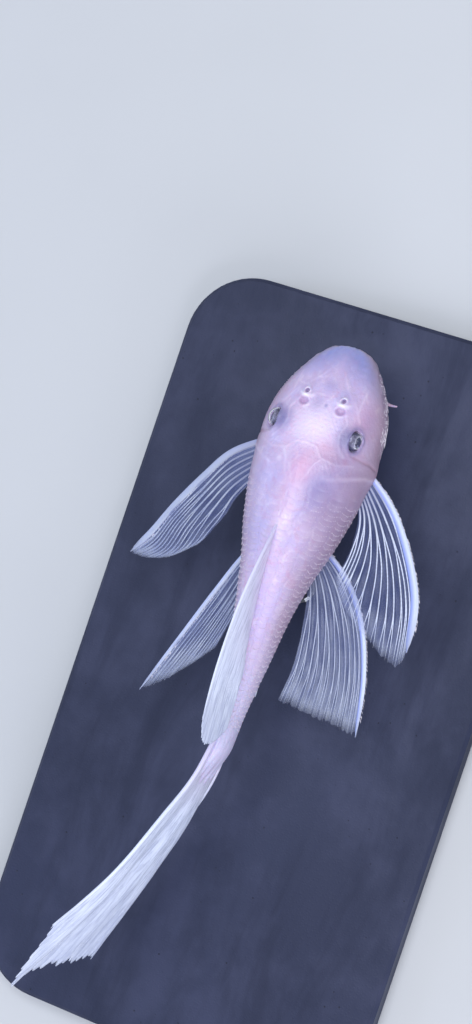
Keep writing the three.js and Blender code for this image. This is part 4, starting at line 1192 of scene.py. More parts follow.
# Values of the fins. Guides are lines of points from the root to the tip, from the front ray to the rear one.
# spine: the first ray's width at its root, at 0.35 and 0.85 of its length and at its tip
# solid and spine_solid: how opaque a ray is at its root, along it and at its end
# haze: how opaque the membrane is, and what its root, end, front and rear add to that
# blush: share of the skin's colour at the root and at the end, and how far out the root's share reaches
# folds: each with its height, its waves across the fin and the place in a wave where it starts
# prickles: the side of the first ray that carries them, or 0; inner: the side that is blue, and how strongly
FIN_DEFAULTS = {
    "inner": 1, "rear_spine": False, "prickles": 0, "folds": (), "flat": 0.8, "sag": 1, "thick": 1,
    "wave": 0.12, "tuck": 0, "round": 0, "lines": 0.25, "blush": (0, 0, 1), "soft_edge": 0,
}
FIN_SINK = 1.6
FINS = {
    "dorsal_fin": {
        "soft_rays": 7, "ray": 0.85, "forks": (0.4, 0.7), "notch": 0.01, "seed": 21,
        "spine": (0.9, 0.8, 0.6, 0.35), "spine_flat": 0.7, "spine_inset": 0.012,
        "spine_solid": (1, 1, 0.6), "inner": 0.1,
        "haze": (1.0, 0.02, -0.28, -0.06, 0), "tone": 1.0, "solid": (1, 1, 0.75), "lines": 0.1,
        "flat": 0.68, "sag": 0.2, "thick": 1.6, "wave": 0.05, "tuck": 1, "round": 0.075,
        "blush": (0.7, 0.1, 0.8),
        "guides": [
            [back_at(32.6, -FIN_SINK), [25, -0.3, 41.2], [14.6, -0.2, 44.5],
             [2.4, -0.6, 46.5], [-12, -1.3, 46]],
            [back_at(26, -FIN_SINK), [18.6, -0.8, 40.2], [9.6, -1.2, 43],
             [-0.5, -1.5, 44.3], [-12.6, -1.8, 43.3]],
            [back_at(18, -FIN_SINK), [12.6, -1.5, 38.6], [5.6, -2.1, 40.2],
             [-2.5, -2.3, 40.6], [-12.1, -2.6, 39.6]],
            [back_at(10.4, -FIN_SINK), [7, -1.9, 36.7], [1.5, -2.9, 36.8],
             [-4.5, -3.1, 36.4], [-11, -3.2, 35.6]],
        ],
    },
    "adipose_fin": {
        "soft_rays": 1, "ray": 0.8, "forks": (0.5, 0.8), "notch": 0.0, "seed": 22,
        "spine": (0.9, 0.8, 0.6, 0.35), "spine_flat": 0.9, "spine_inset": 0.03,
        "spine_solid": (1, 1, 1), "inner": 0.1,
        "haze": (0.8, 0.1, 0, 0, 0), "tone": 0.8, "solid": (1, 1, 1),
        "guides": [
            [back_at(4.2, -1.2), back_at(2.6, 0.5), back_at(1, 1.5), back_at(-0.6, 2)],
            [back_at(0.6, -1.2), back_at(-0.4, 0), back_at(-1.2, 0.9), back_at(-1.6, 1.6)],
            [back_at(-2.6, -1.2), back_at(-2.6, -0.4), back_at(-2.7, 0.2), back_at(-2.8, 0.7)],
        ],
    },
    "anal_fin": {
        "soft_rays": 4, "ray": 0.9, "forks": (0.45, 0.72), "notch": 0.03, "seed": 23,
        "spine": (0.9, 0.8, 0.5, 0.3), "spine_flat": 0.8, "spine_inset": 0.02,
        "spine_solid": (1, 1, 1), "inner": 0.1,
        "haze": (0.4, 0.1, 0.1, 0.1, 0), "tone": 0.3, "solid": (0.9, 1, 0.7), "soft_edge": 0.5,
        "guides": [
            [[15.4, 0, 25], [12, -0.2, 21.6], [6, -0.6, 18.9], [-3, -1.1, 17.2]],
            [[13, -0.1, 25], [10, -0.3, 22.2], [4.5, -0.7, 19.9], [-2.8, -1.2, 18.6]],
            [[10.6, -0.2, 25.2], [8, -0.4, 23], [4, -0.8, 21.6], [-1, -1.2, 20.6]],
        ],
    },
    "caudal_fin": {
        "soft_rays": 14, "ray": 0.95, "forks": (0.34, 0.62), "notch": 0.025, "seed": 24,
        "spine": (1.1, 1.0, 0.6, 0.3), "spine_flat": 0.8, "spine_inset": 0.01, "rear_spine": True,
        "spine_solid": (1, 1, 0.8), "inner": 0.15,
        "haze": (1.0, 0.03, -0.3, 0.03, -0.2), "tone": 1.0, "solid": (1, 1, 0.8), "lines": 0.16,
        "folds": [(1.3, 1.6, 0.1), (0.3, 3.7, 0.35)],
        "flat": 0.54, "sag": 0.2, "thick": 1.6, "wave": 0.03, "tuck": 0.4,
        "blush": (0.8, 0.06, 0.5),
        "guides": [
            [[-10, -1.1, 33.6], [-19.6, -0.1, 36.6], [-28.7, 3, 39.5], [-40.9, 7.9, 42], [-53.7, 15.2, 44]],
            [[-10, -1.2, 32], [-19.9, -0.3, 34], [-31, 2.9, 36], [-47, 8.6, 37.5], [-70.4, 21.3, 38]],
            [[-10, -1.3, 29.8], [-20.2, -0.5, 30.3], [-30.8, 1.9, 30.5], [-44.8, 7.1, 30],
             [-65.6, 16.7, 29.2]],
            [[-10, -1.3, 27.6], [-19.9, -0.5, 27], [-29.4, 1.9, 25.5], [-43.3, 7, 23.5], [-62.4, 14.3, 21]],
            [[-10, -1.3, 26], [-19.4, -0.4, 23.5], [-28.8, 2.4, 20], [-41.4, 7.8, 17], [-63.8, 13.6, 14]],
        ],
    },
    "pectoral_fin_right": {
        "soft_rays": 7, "ray": 0.8, "forks": (0.27, 0.7), "notch": 0.02, "seed": 25,
        "spine": (1.1, 1.4, 1.6, 0.5), "spine_flat": 0.45, "spine_inset": 0.035,
        "spine_solid": (0.95, 0.9, 0.5), "prickles": 1, "inner": -1,
        "haze": (0.13, 0.14, 0.1, 0.04, 0), "tone": 0.08, "solid": (0.5, 0.92, 0.2), "soft_edge": 0.7,
        "guides": [
            [[46.6, -9.6, 26], [41.2, -17, 25.6], [34.2, -22.6, 25], [25.5, -27.2, 24.4], [16, -28.7, 23.9]],
            [[45.4, -9.5, 26], [38.8, -16.2, 25.5], [31.4, -21.7, 24.9], [22.4, -25.8, 24.4],
             [12, -27.6, 23.8]],
            [[44.2, -9.3, 26], [36.8, -15.2, 25.5], [29.2, -18.8, 25], [21.6, -20.6, 24.6],
             [14.4, -21.6, 24.3]],
            [[43, -9.1, 26], [37.4, -12.9, 25.6], [31.4, -14.2, 25.3], [25.6, -14, 25.1],
             [20.4, -13.2, 24.9]],
            [[41.8, -9, 26], [37.2, -11.4, 25.6], [32.6, -12, 25.4], [28.4, -11.8, 25.3], [24.6, -11, 25.3]],
        ],
    },
    "pectoral_fin_left": {
        "soft_rays": 7, "ray": 0.8, "forks": (0.3, 0.72), "notch": 0.025, "seed": 26,
        "spine": (1.1, 1.4, 1.3, 0.5), "spine_flat": 0.45, "spine_inset": 0.03,
        "spine_solid": (0.6, 0.55, 0.3), "prickles": -1, "inner": 0.35,
        "haze": (0.17, 0.1, 0.1, 0.12, 0), "tone": 0.22, "solid": (0.35, 0.55, 0.2), "soft_edge": 0.7,
        "guides": [
            [[46.8, 10, 26], [41.5, 17.2, 25.4], [35.7, 21.2, 24.8],
             [28.5, 25.3, 24.1], [21.3, 28.8, 23.3], [16.2, 31.7, 22.6]],
            [[45.2, 9.8, 26], [39.6, 16.7, 25.4], [32.8, 20.6, 24.8],
             [25.6, 24.5, 24.1], [19.3, 27.2, 23.4], [15.9, 30.6, 22.8]],
            [[43.6, 9.6, 26], [37.3, 15.9, 25.4], [31.3, 19.4, 24.9],
             [24.7, 22.5, 24.3], [18.9, 24.6, 23.7], [16.1, 27.6, 23.2]],
            [[42, 9.4, 26], [35.4, 14.9, 25.5], [30.3, 17.4, 25.1],
             [24.8, 19.6, 24.6], [20.2, 21.2, 24.1], [17.6, 23.3, 23.7]],
            [[40.4, 9.2, 26], [33.2, 13.1, 25.6], [29.4, 14.2, 25.3],
             [26.3, 15.6, 25], [23.8, 16.8, 24.7], [21.8, 18.1, 24.4]],
        ],
    },
    "pelvic_fin_right": {
        "soft_rays": 6, "ray": 0.65, "forks": (0.3, 0.68), "notch": 0.02, "seed": 27,
        "spine": (1.0, 1.1, 0.9, 0.35), "spine_flat": 0.6, "spine_inset": 0.02,
        "spine_solid": (0.9, 1, 0.6), "prickles": 1, "inner": -1,
        "haze": (0.2, 0.14, 0.05, 0.04, 0), "tone": 0.4, "solid": (0.4, 0.55, 0.15), "soft_edge": 0.75,
        "guides": [
            [[31, -3.4, 24], [25.6, -11.6, 21.9], [18.6, -17.4, 21.2], [8, -21.6, 20.4], [-3.5, -23.7, 19.8]],
            [[30, -3.4, 24], [23.4, -9.8, 21.9], [16, -14.4, 21.3], [6.4, -17.9, 20.6], [-3.1, -19.2, 20]],
            [[29, -3.3, 24], [22, -7.6, 21.9], [14.6, -10.8, 21.4], [6, -13, 20.8], [-2.6, -13.4, 20.3]],
            [[28, -3.2, 24], [20.8, -5.4, 21.9], [13.6, -6.8, 21.5], [5.6, -7.4, 21], [-2, -6.6, 20.6]],
        ],
    },
    "pelvic_fin_left": {
        "soft_rays": 6, "ray": 0.65, "forks": (0.3, 0.68), "notch": 0.02, "seed": 28,
        "spine": (1.0, 1.0, 0.7, 0.3), "spine_flat": 0.6, "spine_inset": 0.02,
        "spine_solid": (0.8, 0.85, 0.5), "prickles": -1, "inner": 0.5,
        "haze": (0.19, 0.15, 0.06, 0.1, 0), "tone": 0.28, "solid": (0.4, 0.55, 0.2), "soft_edge": 0.7,
        "guides": [
            [[31, 3.4, 24], [23.6, 8.8, 21.9], [14.4, 12.6, 21.5], [3.2, 16.8, 20.8], [-9.5, 21.6, 19.9]],
            [[30, 3.4, 24], [22, 7.6, 21.9], [12.8, 10.4, 21.5], [3, 14, 20.8], [-6.8, 17.9, 20.1]],
            [[29, 3.3, 24], [21, 6.4, 21.9], [12.6, 8.6, 21.5], [4.2, 11.2, 20.9], [-2.2, 13.6, 20.4]],
            [[28, 3.2, 24], [20.4, 5.2, 21.9], [14, 6.6, 21.5], [8.4, 7.8, 21.1], [3.4, 9, 20.7]],
        ],
    },
}


# Eyes: how far the iris reaches from the outward pole as an angle, its plane, and the depths of its forms
BALL_RINGS = 90
BALL_AROUND = 120
IRIS = {"sunk": 0.12, "reach": 1.2, "plane": 1.72, "blend": 8, "fold": 0.006, "folds": 30, "rim": 0.08}
PUPIL = {"length": 1.12, "height": 0.66, "depth": 0.28}
LOBE = {"length": 0.46, "height": 1.12, "above": 0.55}
CORNEA = {"sunk": 0.105, "rise": 0.165}


def eye_frame(side):
    """An eye's centre, and the iris's forward, upper and outward directions."""
    upper, axis = (direction * [1, side, 1] for direction in eye_axes(GAZE_TILT))
    forward = np.array([1.0, 0, 0])
    centre = np.array([EYE["x"], float(spine_y(EYE["x"])) + side * EYE["y"], EYE["z"]])
    return centre, forward, upper, axis


def pupil_gap(ahead, above):
    """Distance from the pupil's middle, on a scale that makes its long oval outline 1."""
    return np.hypot(ahead / PUPIL["length"], above / PUPIL["height"])


def lobe_gap(ahead, above):
    """Distance from the middle of the lobe over the pupil, on a scale that makes its outline 1."""
    return np.hypot(ahead / LOBE["length"], (above - LOBE["above"]) / LOBE["height"])


def pupil_opening(ahead, above):
    """Share of the open pupil: a long hole whose middle is covered from above by a lobe of the iris."""
    hole = smooth_step(1, 0.88, pupil_gap(ahead, above))
    return hole * (1 - smooth_step(1, 0.84, lobe_gap(ahead, above)))


def iris_radius(polar, turn):
    """The eyeball with a flatter iris; the pupil is sunk into it and the iris has fine folds."""
    radius = EYE["radius"] - IRIS["sunk"]
    away = np.minimum(polar, IRIS["reach"])
    flat = IRIS["plane"] / np.maximum(np.cos(away), 0.2)
    surface = -np.log(np.exp(-IRIS["blend"] * radius) + np.exp(-IRIS["blend"] * flat)) / IRIS["blend"]
    ahead = np.tan(away) * IRIS["plane"] * np.cos(turn)
    above = np.tan(away) * IRIS["plane"] * np.sin(turn)
    gap = pupil_gap(ahead, above)
    folds = np.sin(IRIS["folds"] * turn) * smooth_step(0.8, 1.1, gap) * smooth_step(2.2, 1.4, gap)
    relief = IRIS["fold"] * folds + IRIS["rim"] * bump_at(gap - 1.14, 0.2)
    relief = relief - PUPIL["depth"] * pupil_opening(ahead, above)
    return surface + relief * (polar < IRIS["reach"])


def cornea_radius(polar, _turn):
    """A clear film on the ball that rises to a dome over the iris."""
    return EYE["radius"] - CORNEA["sunk"] + CORNEA["rise"] * smooth_step(IRIS["reach"], 0.45, polar)


def eye_shape(side, radius_at):
    """A ball in the eye's own frame; radius_at gives its radius by the angle from its outward pole."""
    centre, forward, upper, axis = eye_frame(side)
    polar = np.linspace(0, np.pi, BALL_RINGS + 2)[1:-1]
    polar, turn = np.meshgrid(polar, turns(BALL_AROUND), indexing="ij")
    radius = radius_at(polar, turn)
    ahead = radius * np.sin(polar) * np.cos(turn)
    above = radius * np.sin(polar) * np.sin(turn)
    out = radius * np.cos(polar)
    points = centre + ahead[..., None] * forward + above[..., None] * upper + out[..., None] * axis
    pole = np.zeros((1, 1))
    front = centre + axis * float(radius_at(pole, pole)[0, 0])
    rear = centre - axis * float(radius_at(pole + np.pi, pole)[0, 0])
    faces = barrel_faces(BALL_RINGS, BALL_AROUND, flip=side > 0)
    ahead = np.append(ahead.ravel(), [0, 3])
    above = np.append(above.ravel(), [0, 3])
    on_iris = np.append((polar < IRIS["reach"]).ravel(), [True, False])
    gap = pupil_gap(ahead, above)
    # Painted highlight: a bright edge round the pupil and along the lobe over it.
    lobe_edge_highlight = bump_at(lobe_gap(ahead, above) - 0.86, 0.24) * (gap < 1.05)
    values = {
        "ahead": ahead,
        "above": above,
        "opening": pupil_opening(ahead, above) * on_iris,
        "pupil_edge": np.maximum(bump_at(gap - 1.1, 0.2), lobe_edge_highlight),
    }
    return Shape(np.concatenate([points.reshape(-1, 3), [front], [rear]]), faces, 0, values)


PUPIL_COLOUR = (0.006, 0.006, 0.012)


def iris_material(settings):
    """Dark eyeball and iris with silvery streaks, a painted highlight as a bright edge round the pupil, and a
    black pupil.
    """
    material, nodes, shader = new_material("eye_iris")
    place = nodes.add("ShaderNodeCombineXYZ", {"X": nodes.value("ahead"), "Y": nodes.value("above")})
    streaks = nodes.noise(3.2, detail=4, vector=place)
    gleam = nodes.spread(streaks, 0.5, 0.74, 0, 0.6)
    silver = nodes.blend(gleam, settings.iris_colour, settings.iris_light_colour)
    wander = nodes.math("MULTIPLY", nodes.math("SUBTRACT", streaks, 0.5), 0.5)
    squeezed = nodes.vector_math("MULTIPLY", place, (1.06, 0.7, 1))
    radius = nodes.add("ShaderNodeVectorMath", {0: squeezed}, "Value", operation="LENGTH")
    outside = nodes.spread(nodes.math("ADD", radius, wander), 1.3, 1.62)
    colour = nodes.blend(outside, silver, settings.eyeball_colour)
    # Painted highlight round the pupil.
    colour = nodes.tinted(colour, settings, [("pupil_edge", 0.55, "iris_light_colour")])
    opening = nodes.value("opening")
    colour = nodes.blend(opening, colour, PUPIL_COLOUR)
    rough = nodes.spread(streaks, 0.3, 0.7, 0.22, 0.42)
    silvered = nodes.math("MULTIPLY", nodes.math("SUBTRACT", 1, outside), nodes.math("SUBTRACT", 1, opening))
    metal = nodes.math("MULTIPLY", silvered, 0.2)
    dress(nodes, shader, Base_Color=colour, Roughness=rough, Metallic=metal,
          Normal=nodes.bump(streaks, 0.4, 0.00008))
    return material


def cornea_material():
    """Clear wet surface of the eye."""
    material, nodes, shader = new_material("eye_cornea")
    film = nodes.blend(nodes.spread(nodes.noise(1400), 0.3, 0.7), (0.93, 0.95, 1.0), (1.0, 1.0, 1.0))
    dress(nodes, shader, Base_Color=film, Roughness=0.02, IOR=1.12, Transmission_Weight=1.0)
    return material


# Mouth: its lip's height over its bottom from the middle (0) to the rim (1), and the forms on it
MOUTH_PROFILE = smooth_profile([
    [0, 1.35], [0.3, 1.2], [0.42, 0.7], [0.55, 0.5], [0.68, 0.22], [0.84, 0.0], [0.94, 0.1], [1.0, 0.5],
])
MOUTH_GRID = {"rings": 92, "around": 220, "wall": (1.0, 0.8, 0.55, 0.3, 0.12)}
OPENING_AHEAD = 1.1
WARTS = {"rows": 15, "around": 44, "height": 0.2}
FRINGE = {"around": 60, "height": 0.06}
BARBEL = {
    "points": [[60.4, 4.6, 22.5], [60.2, 7, 22.1], [59.6, 9.4, 22.3], [59.7, 11, 22.7]],
    "root": 0.5, "tip": 0.14, "steps": 42, "sides": 14,
}
TOOTH_ROWS = [
    {"ahead": 1.1, "aside": 0.85, "half_width": 0.8, "lean": -1, "count": 22},
    {"ahead": -1.0, "aside": 0.85, "half_width": 0.75, "lean": 1, "count": 20},
]
TOOTH = {"root": 1.15, "length": 0.85, "radius": 0.035}


def mouth_wall(rim, rim_z):
    """Rings from the mouth's top down to the lip's rim."""
    middle = np.array([MOUTH["x"], 0.0])
    rings = []
    for step in MOUTH_GRID["wall"]:
        reach = 0.9 + 0.1 * (1 - step) ** 0.5
        height = MOUTH["top"] * step + rim_z * (1 - step)
        rings.append(np.concatenate([middle + (rim - middle) * reach, height[:, None]], axis=1))
    return np.stack(rings)


def mouth_disc():
    """The sucker: a round lip with rows of soft warts, a raised rim and an inner opening."""
    around = MOUTH_GRID["around"]
    shares = np.linspace(1, 0.02, MOUTH_GRID["rings"])
    share, turn = np.meshgrid(shares, turns(around), indexing="ij")
    x = (MOUTH["x"] + OPENING_AHEAD * smooth_step(0.9, 0.3, share)
         + MOUTH["length"] / 2 * share * np.cos(turn))
    y = MOUTH["width"] / 2 * share * np.sin(turn)
    lip = smooth_step(0.46, 0.56, share) * smooth_step(0.99, 0.93, share)
    row = share * WARTS["rows"]
    warts = 0.5 + 0.5 * np.cos(2 * np.pi * row)
    warts = warts * (0.5 + 0.5 * np.cos(turn * WARTS["around"] + np.pi * np.floor(row + 0.5)))
    unevenness = 0.8 + 0.3 * ripple(np.stack([x, y, share], -1), 2.5, 61)
    fringe = FRINGE["height"] * np.cos(turn * FRINGE["around"]) * bump_at(share - 1, 0.05)
    z = MOUTH["bottom"] + MOUTH_PROFILE(share) - WARTS["height"] * warts * lip * unevenness + fringe
    z = z + 0.1 * ripple(np.stack([x, y, z], -1), 3.2, 62) * smooth_step(0.5, 0.8, share)
    z = np.maximum(z, MOUTH["bottom"] - 0.12)
    rim = np.stack([MOUTH["x"] + MOUTH["length"] / 2 * np.cos(turn[0]), y[0]], -1)
    wall = mouth_wall(rim, z[0])
    grid = np.concatenate([wall, np.stack([x, y, z], -1)])
    top = [MOUTH["x"], 0, MOUTH["top"]]
    throat = [MOUTH["x"] + OPENING_AHEAD, 0, MOUTH["bottom"] + float(MOUTH_PROFILE(0))]
    points = np.concatenate([grid.reshape(-1, 3), [top], [throat]])
    faces = (grid_faces(len(grid), around, wrap=True, flip=True)
             + cap_faces(len(grid) * around, 0, around)
             + cap_faces(len(grid) * around + 1, (len(grid) - 1) * around, around, flip=True))
    bare = np.zeros(wall.shape[:2])
    inner = np.concatenate([bare, smooth_step(0.55, 0.35, share)])
    wart = np.concatenate([bare, warts * lip])
    values = {"inner": np.append(inner.ravel(), [0, 1]), "wart": np.append(wart.ravel(), [0, 0])}
    return Shape(points, faces, 0, values)


def barbel(side):
    """The soft feeler at a corner of the mouth."""
    share = np.linspace(0, 1, BARBEL["steps"])
    path = curve_through(np.array(BARBEL["points"]) * [1, side, 1], share)
    radius = BARBEL["root"] + (BARBEL["tip"] - BARBEL["root"]) * share + 0.02 * np.sin(share * 60)
    radius = radius * (1 - 0.6 * smooth_step(0.96, 1, share))
    ups = np.broadcast_to(np.array([0.0, 0, 1]), path.shape)
    return tubes(path[None], ups[None], radius[None], radius[None], BARBEL["sides"])


def tooth_combs():
    """Rows of fine curved teeth inside the mouth, two in front of its opening and two behind."""
    shapes = []
    for comb in TOOTH_ROWS:
        for side in (1, -1):
            place = np.linspace(-1, 1, comb["count"])
            x = MOUTH["x"] + 1.0 + comb["ahead"] + 0.25 * comb["lean"] * place ** 2
            y = side * comb["aside"] + comb["half_width"] * place
            roots = np.stack([x, y, np.full(x.shape, MOUTH["bottom"] + TOOTH["root"])], -1)
            leans = np.broadcast_to(unit(np.array([0.5 * comb["lean"], 0, -1.0])), roots.shape)
            lifts = np.broadcast_to(np.array([-0.3 * comb["lean"], 0, -1.0]), roots.shape)
            lengths = TOOTH["length"] - 0.15 * place ** 2
            shapes.append(prickles(roots, leans, lengths, TOOTH["radius"], lifts, steps=5))
    return joined(shapes)


def lip_material(settings):
    """Soft pink lips with paler warts and a redder inside."""
    material, nodes, shader = new_material("lips")
    colour = nodes.mottled(settings.lip_colour, settings.margin_colour, 320, 0.5)
    colour = nodes.tinted(colour, settings, [("wart", 0.6, "pale_colour"), ("inner", 0.8, "flush_colour")])
    dress(nodes, shader, Base_Color=colour, Roughness=0.4, Subsurface_Weight=0.3,
          Subsurface_Radius=(1.0, 0.4, 0.45), Subsurface_Scale=0.001, Coat_Weight=0.3,
          Coat_Roughness=0.2, Normal=nodes.bump(nodes.grain(2400, 0.6), 0.3, 0.00005))
    return material


def tooth_material():
    """Ivory teeth with amber tips."""
    material, nodes, shader = new_material("teeth")
    colour = nodes.blend(nodes.spread(nodes.value("tip"), 0.55, 0.95), (0.86, 0.82, 0.74), (0.55, 0.3, 0.1))
    dress(nodes, shader, Base_Color=colour, Roughness=0.25, Coat_Weight=0.3)
    return material


# Stand
PIT_COLOUR = (0.01, 0.012, 0.02)
STEEL_LIGHT = (0.3, 0.31, 0.33)


def slate_material(settings):
    """Dark blue-grey stone with a satin face, faint layers and small pits."""
    material, nodes, shader = new_material("slate")
    colour = nodes.mottled(settings.slate_colour, settings.slate_light_colour, 38, 0.8)
    drawn_out = nodes.stretched((0.35, 1.4, 3))
    layered = nodes.noise(60, detail=6, roughness=0.65, vector=drawn_out, distortion=0.4)
    colour = nodes.blend(nodes.spread(layered, 0.42, 0.7, 0, 0.55), colour, settings.slate_dark_colour)
    specks = nodes.spread(nodes.cells(420), 0.11, 0.05)
    speck_zone = nodes.spread(nodes.noise(150, detail=1), 0.5, 0.6)
    pits = nodes.math("MULTIPLY", specks, speck_zone)
    colour = nodes.blend(nodes.math("MULTIPLY", pits, 0.7), colour, PIT_COLOUR)
    height = nodes.math("ADD", nodes.math("MULTIPLY", nodes.grain(1700, 1.0), 0.25), layered)
    height = nodes.math("SUBTRACT", height, pits)
    roughness = nodes.spread(layered, 0.35, 0.7, 0.48, 0.66)
    dress(nodes, shader, Base_Color=colour, Roughness=roughness, Specular_IOR_Level=0.25,
          Normal=nodes.bump(height, 0.35, 0.0002))
    return material


def steel_material(settings):
    """Turned stainless steel with fine rings."""
    material, nodes, shader = new_material("turned_steel")
    rings = nodes.noise(1, detail=2, vector=nodes.stretched((60, 60, 9000)))
    colour = nodes.blend(nodes.spread(rings, 0.3, 0.7), settings.steel_colour, STEEL_LIGHT)
    roughness = nodes.spread(rings, 0.3, 0.7, 0.2, 0.36)
    dress(nodes, shader, Base_Color=colour, Metallic=1.0, Roughness=roughness,
          Normal=nodes.bump(rings, 0.15, 0.00003))
    return material


# Settings
def colour_setting(name, description, default):
    """A colour that can be changed."""
    return bpy.props.FloatVectorProperty(name=name, description=description, default=default,
                                         subtype="COLOR", size=3, min=0, max=1)


def length_setting(name, description, millimetres):
    """A length that can be changed, given in millimetres and held in metres."""
    return bpy.props.FloatProperty(name=name, description=description, default=millimetres * MM,
                                   unit="LENGTH", min=0, soft_max=10 * millimetres * MM, precision=5)


def power_setting(name, description, watts):
    """A light's power that can be changed."""
    return bpy.props.FloatProperty(name=name, description=description, default=watts, unit="POWER", min=0)


class PlecoBodySettings(bpy.types.PropertyGroup):
    """Sizes and colours of the skin, mouth and eyes."""
    plate_relief: length_setting("Plate relief", "Height of the side plates' rear edges", 0.09)
    ridge_height: length_setting("Ridge height", "Height of the raised edges of the head's bones", 0.075)
    skin_colour: colour_setting("Skin", "Main colour of the skin", (0.64, 0.5, 0.72))
    mottle_colour: colour_setting("Mottling", "Second colour of the skin's clouds", (0.6, 0.52, 0.84))
    # The snout edge's colour is painted shade where the head's edge turns from the light; the lips also use
    # it as their second mottling colour.
    margin_colour: colour_setting("Snout edge", "Soft bluish edge of the snout", (0.27, 0.31, 0.66))
    pale_colour: colour_setting("Pale", "Palest parts and raised edges", (0.9, 0.78, 0.92))
    flush_colour: colour_setting("Flush", "Pink where blood shows through", (0.66, 0.34, 0.52))
    violet_colour: colour_setting("Violet", "Violet where dark organs show through", (0.3, 0.26, 0.52))
    # Painted shade of the sides, where they turn away from the light.
    painted_side_shade_colour: colour_setting("Side shade", "Duller mauve of the sides", (0.33, 0.23, 0.3))
    # Painted shade over the right back, dark mauve where that side lies in shade.
    painted_shade_and_spot_colour: colour_setting("Painted shade", "Dark mauve from the right eye to the shoulder", (0.22, 0.14, 0.26))
    stern_colour: colour_setting("Tail stem", "Milky blue skin towards the tail", (0.62, 0.6, 0.8))
    orbit_colour: colour_setting("Round the eye", "Grey-blue skin over the eyeball", (0.17, 0.16, 0.33))
    # Painted shade inside the gill slit behind the cheek.
    slit_shade_colour: colour_setting("Gill slit", "Inside of the slit behind the cheek", (0.36, 0.19, 0.26))
    # Painted shade of the nostril's deep cavity.
    hole_shade_colour: colour_setting("Nostril hole", "Deep part of the nostril", (0.27, 0.17, 0.33))
    lining_colour: colour_setting("Nostril lining", "Inside of the nostril's rear pit", (0.48, 0.32, 0.53))
    collar_colour: colour_setting("Nostril rim", "Whitish rim and flap of the nostrils", (0.97, 0.92, 1.0))
    belly_colour: colour_setting("Belly", "Soft skin of the belly", (0.72, 0.56, 0.68))
    lip_colour: colour_setting("Lips", "Lips and feelers", (0.66, 0.44, 0.52))
    iris_colour: colour_setting("Iris", "Dark ground of the iris", (0.13, 0.12, 0.19))
    # Also the colour of the painted highlight round the pupil.
    iris_light_colour: colour_setting("Iris light", "Bright silver of the iris", (0.8, 0.8, 0.9))
    eyeball_colour: colour_setting("Eyeball", "Dark outer part of the eyeball", (0.05, 0.05, 0.1))


class PlecoFinSettings(bpy.types.PropertyGroup):
    """Sizes and colours of the fins."""
    ray_width: length_setting("Ray width", "Width of a soft ray at its root", 0.55)
    web_thickness: length_setting("Membrane", "Thickness of the membrane at the fin's root", 0.16)
    web_sag: length_setting("Membrane dip", "How far the membrane dips between two rays", 0.12)
    ray_colour: colour_setting("Ray", "Milky colour of the rays", (0.8, 0.86, 1.0))
    joint_colour: colour_setting("Joint", "Clearer colour of the joints", (0.35, 0.38, 0.6))
    root_colour: colour_setting("Root", "Colour of the rays where they leave the body", (0.5, 0.46, 0.66))
    blush_colour: colour_setting("Blush", "Skin colour at the tail and back fins' roots", (0.76, 0.66, 0.84))
    spine_colour: colour_setting("Spine", "Bluer inner side of the fins' first rays", (0.24, 0.33, 0.86))
    web_colour: colour_setting("Membrane", "Clear blue of the membrane", (0.15, 0.2, 0.5))
    web_light_colour: colour_setting("Membrane light", "Milky parts of the membrane", (0.76, 0.83, 1.0))


class PlecoStandSettings(bpy.types.PropertyGroup):
    """Colours of the display stand."""
    slate_colour: colour_setting("Slate", "Main colour of the base", (0.0265, 0.033, 0.07))
    slate_light_colour: colour_setting("Slate light", "Lighter clouds of the base", (0.042, 0.049, 0.096))
    slate_dark_colour: colour_setting("Slate dark", "Darker layers of the base", (0.0146, 0.019, 0.041))
    steel_colour: colour_setting("Steel", "Darker rings of the rods", (0.2, 0.21, 0.23))


class PlecoStageSettings(bpy.types.PropertyGroup):
    """Floor, lights and camera."""
    floor_colour: colour_setting("Floor", "Pale floor", (0.58, 0.59, 0.6))
    key_power: power_setting("Key light", "Power of the large soft light overhead", 3.6)
    fill_power: power_setting("Fill light", "Power of the light behind and to the right", 3.2)
    rim_power: power_setting("Rim light", "Power of the cool light from the left", 1.4)
    sky_strength: bpy.props.FloatProperty(name="Room light", description="Strength of the light all round",
                                          default=0.3, min=0)
    lens: bpy.props.FloatProperty(name="Lens", description="Focal length for a 36 mm long side",
                                  default=75.9, unit="CAMERA", min=1)


# Operators
class PLECO_OT_skin(bpy.types.Operator):
    """Builds the one skin of head, trunk and tail stem, with its plates, nostrils and eye sockets"""
    bl_idname = "pleco.skin"
    bl_label = "Skin"

    def execute(self, context):
        settings = context.scene.pleco_body
        shape = skin_shape(settings)
        for name, patches in PATCHES.items():
            shape.values[name] = patch_share(shape.points, patches)
        make_piece("skin", shape, [skin_material(settings)], ("head", "trunk", "tail_stem"))
        return {"FINISHED"}


class PLECO_OT_prickles(bpy.types.Operator):
    """Builds the hooked spines of the cheeks and the tiny spines of the snout's edge and the side plates"""
    bl_idname = "pleco.prickles"
    bl_label = "Cheek and plate spines"

    def execute(self, context):
        random = np.random.default_rng(11)
        material = prickle_material()
        on_head = joined(cheek_prickles(random) + margin_prickles(random))
        make_piece("cheek_spines", on_head, [material])
        make_piece("plate_spines", joined(plate_prickles(random)), [material])
        return {"FINISHED"}


class PLECO_OT_eyes(bpy.types.Operator):
    """Builds both eyes: a ball with an iris and a lobed pupil under a clear dome"""
    bl_idname = "pleco.eyes"
    bl_label = "Eyes"

    def execute(self, context):
        iris = iris_material(context.scene.pleco_body)
        cornea = cornea_material()
        for name, side in (("left", 1), ("right", -1)):
            make_piece(f"eyeball_{name}", eye_shape(side, iris_radius), [iris], (f"eye_{name}",))
            make_piece(f"cornea_{name}", eye_shape(side, cornea_radius), [cornea])
        return {"FINISHED"}


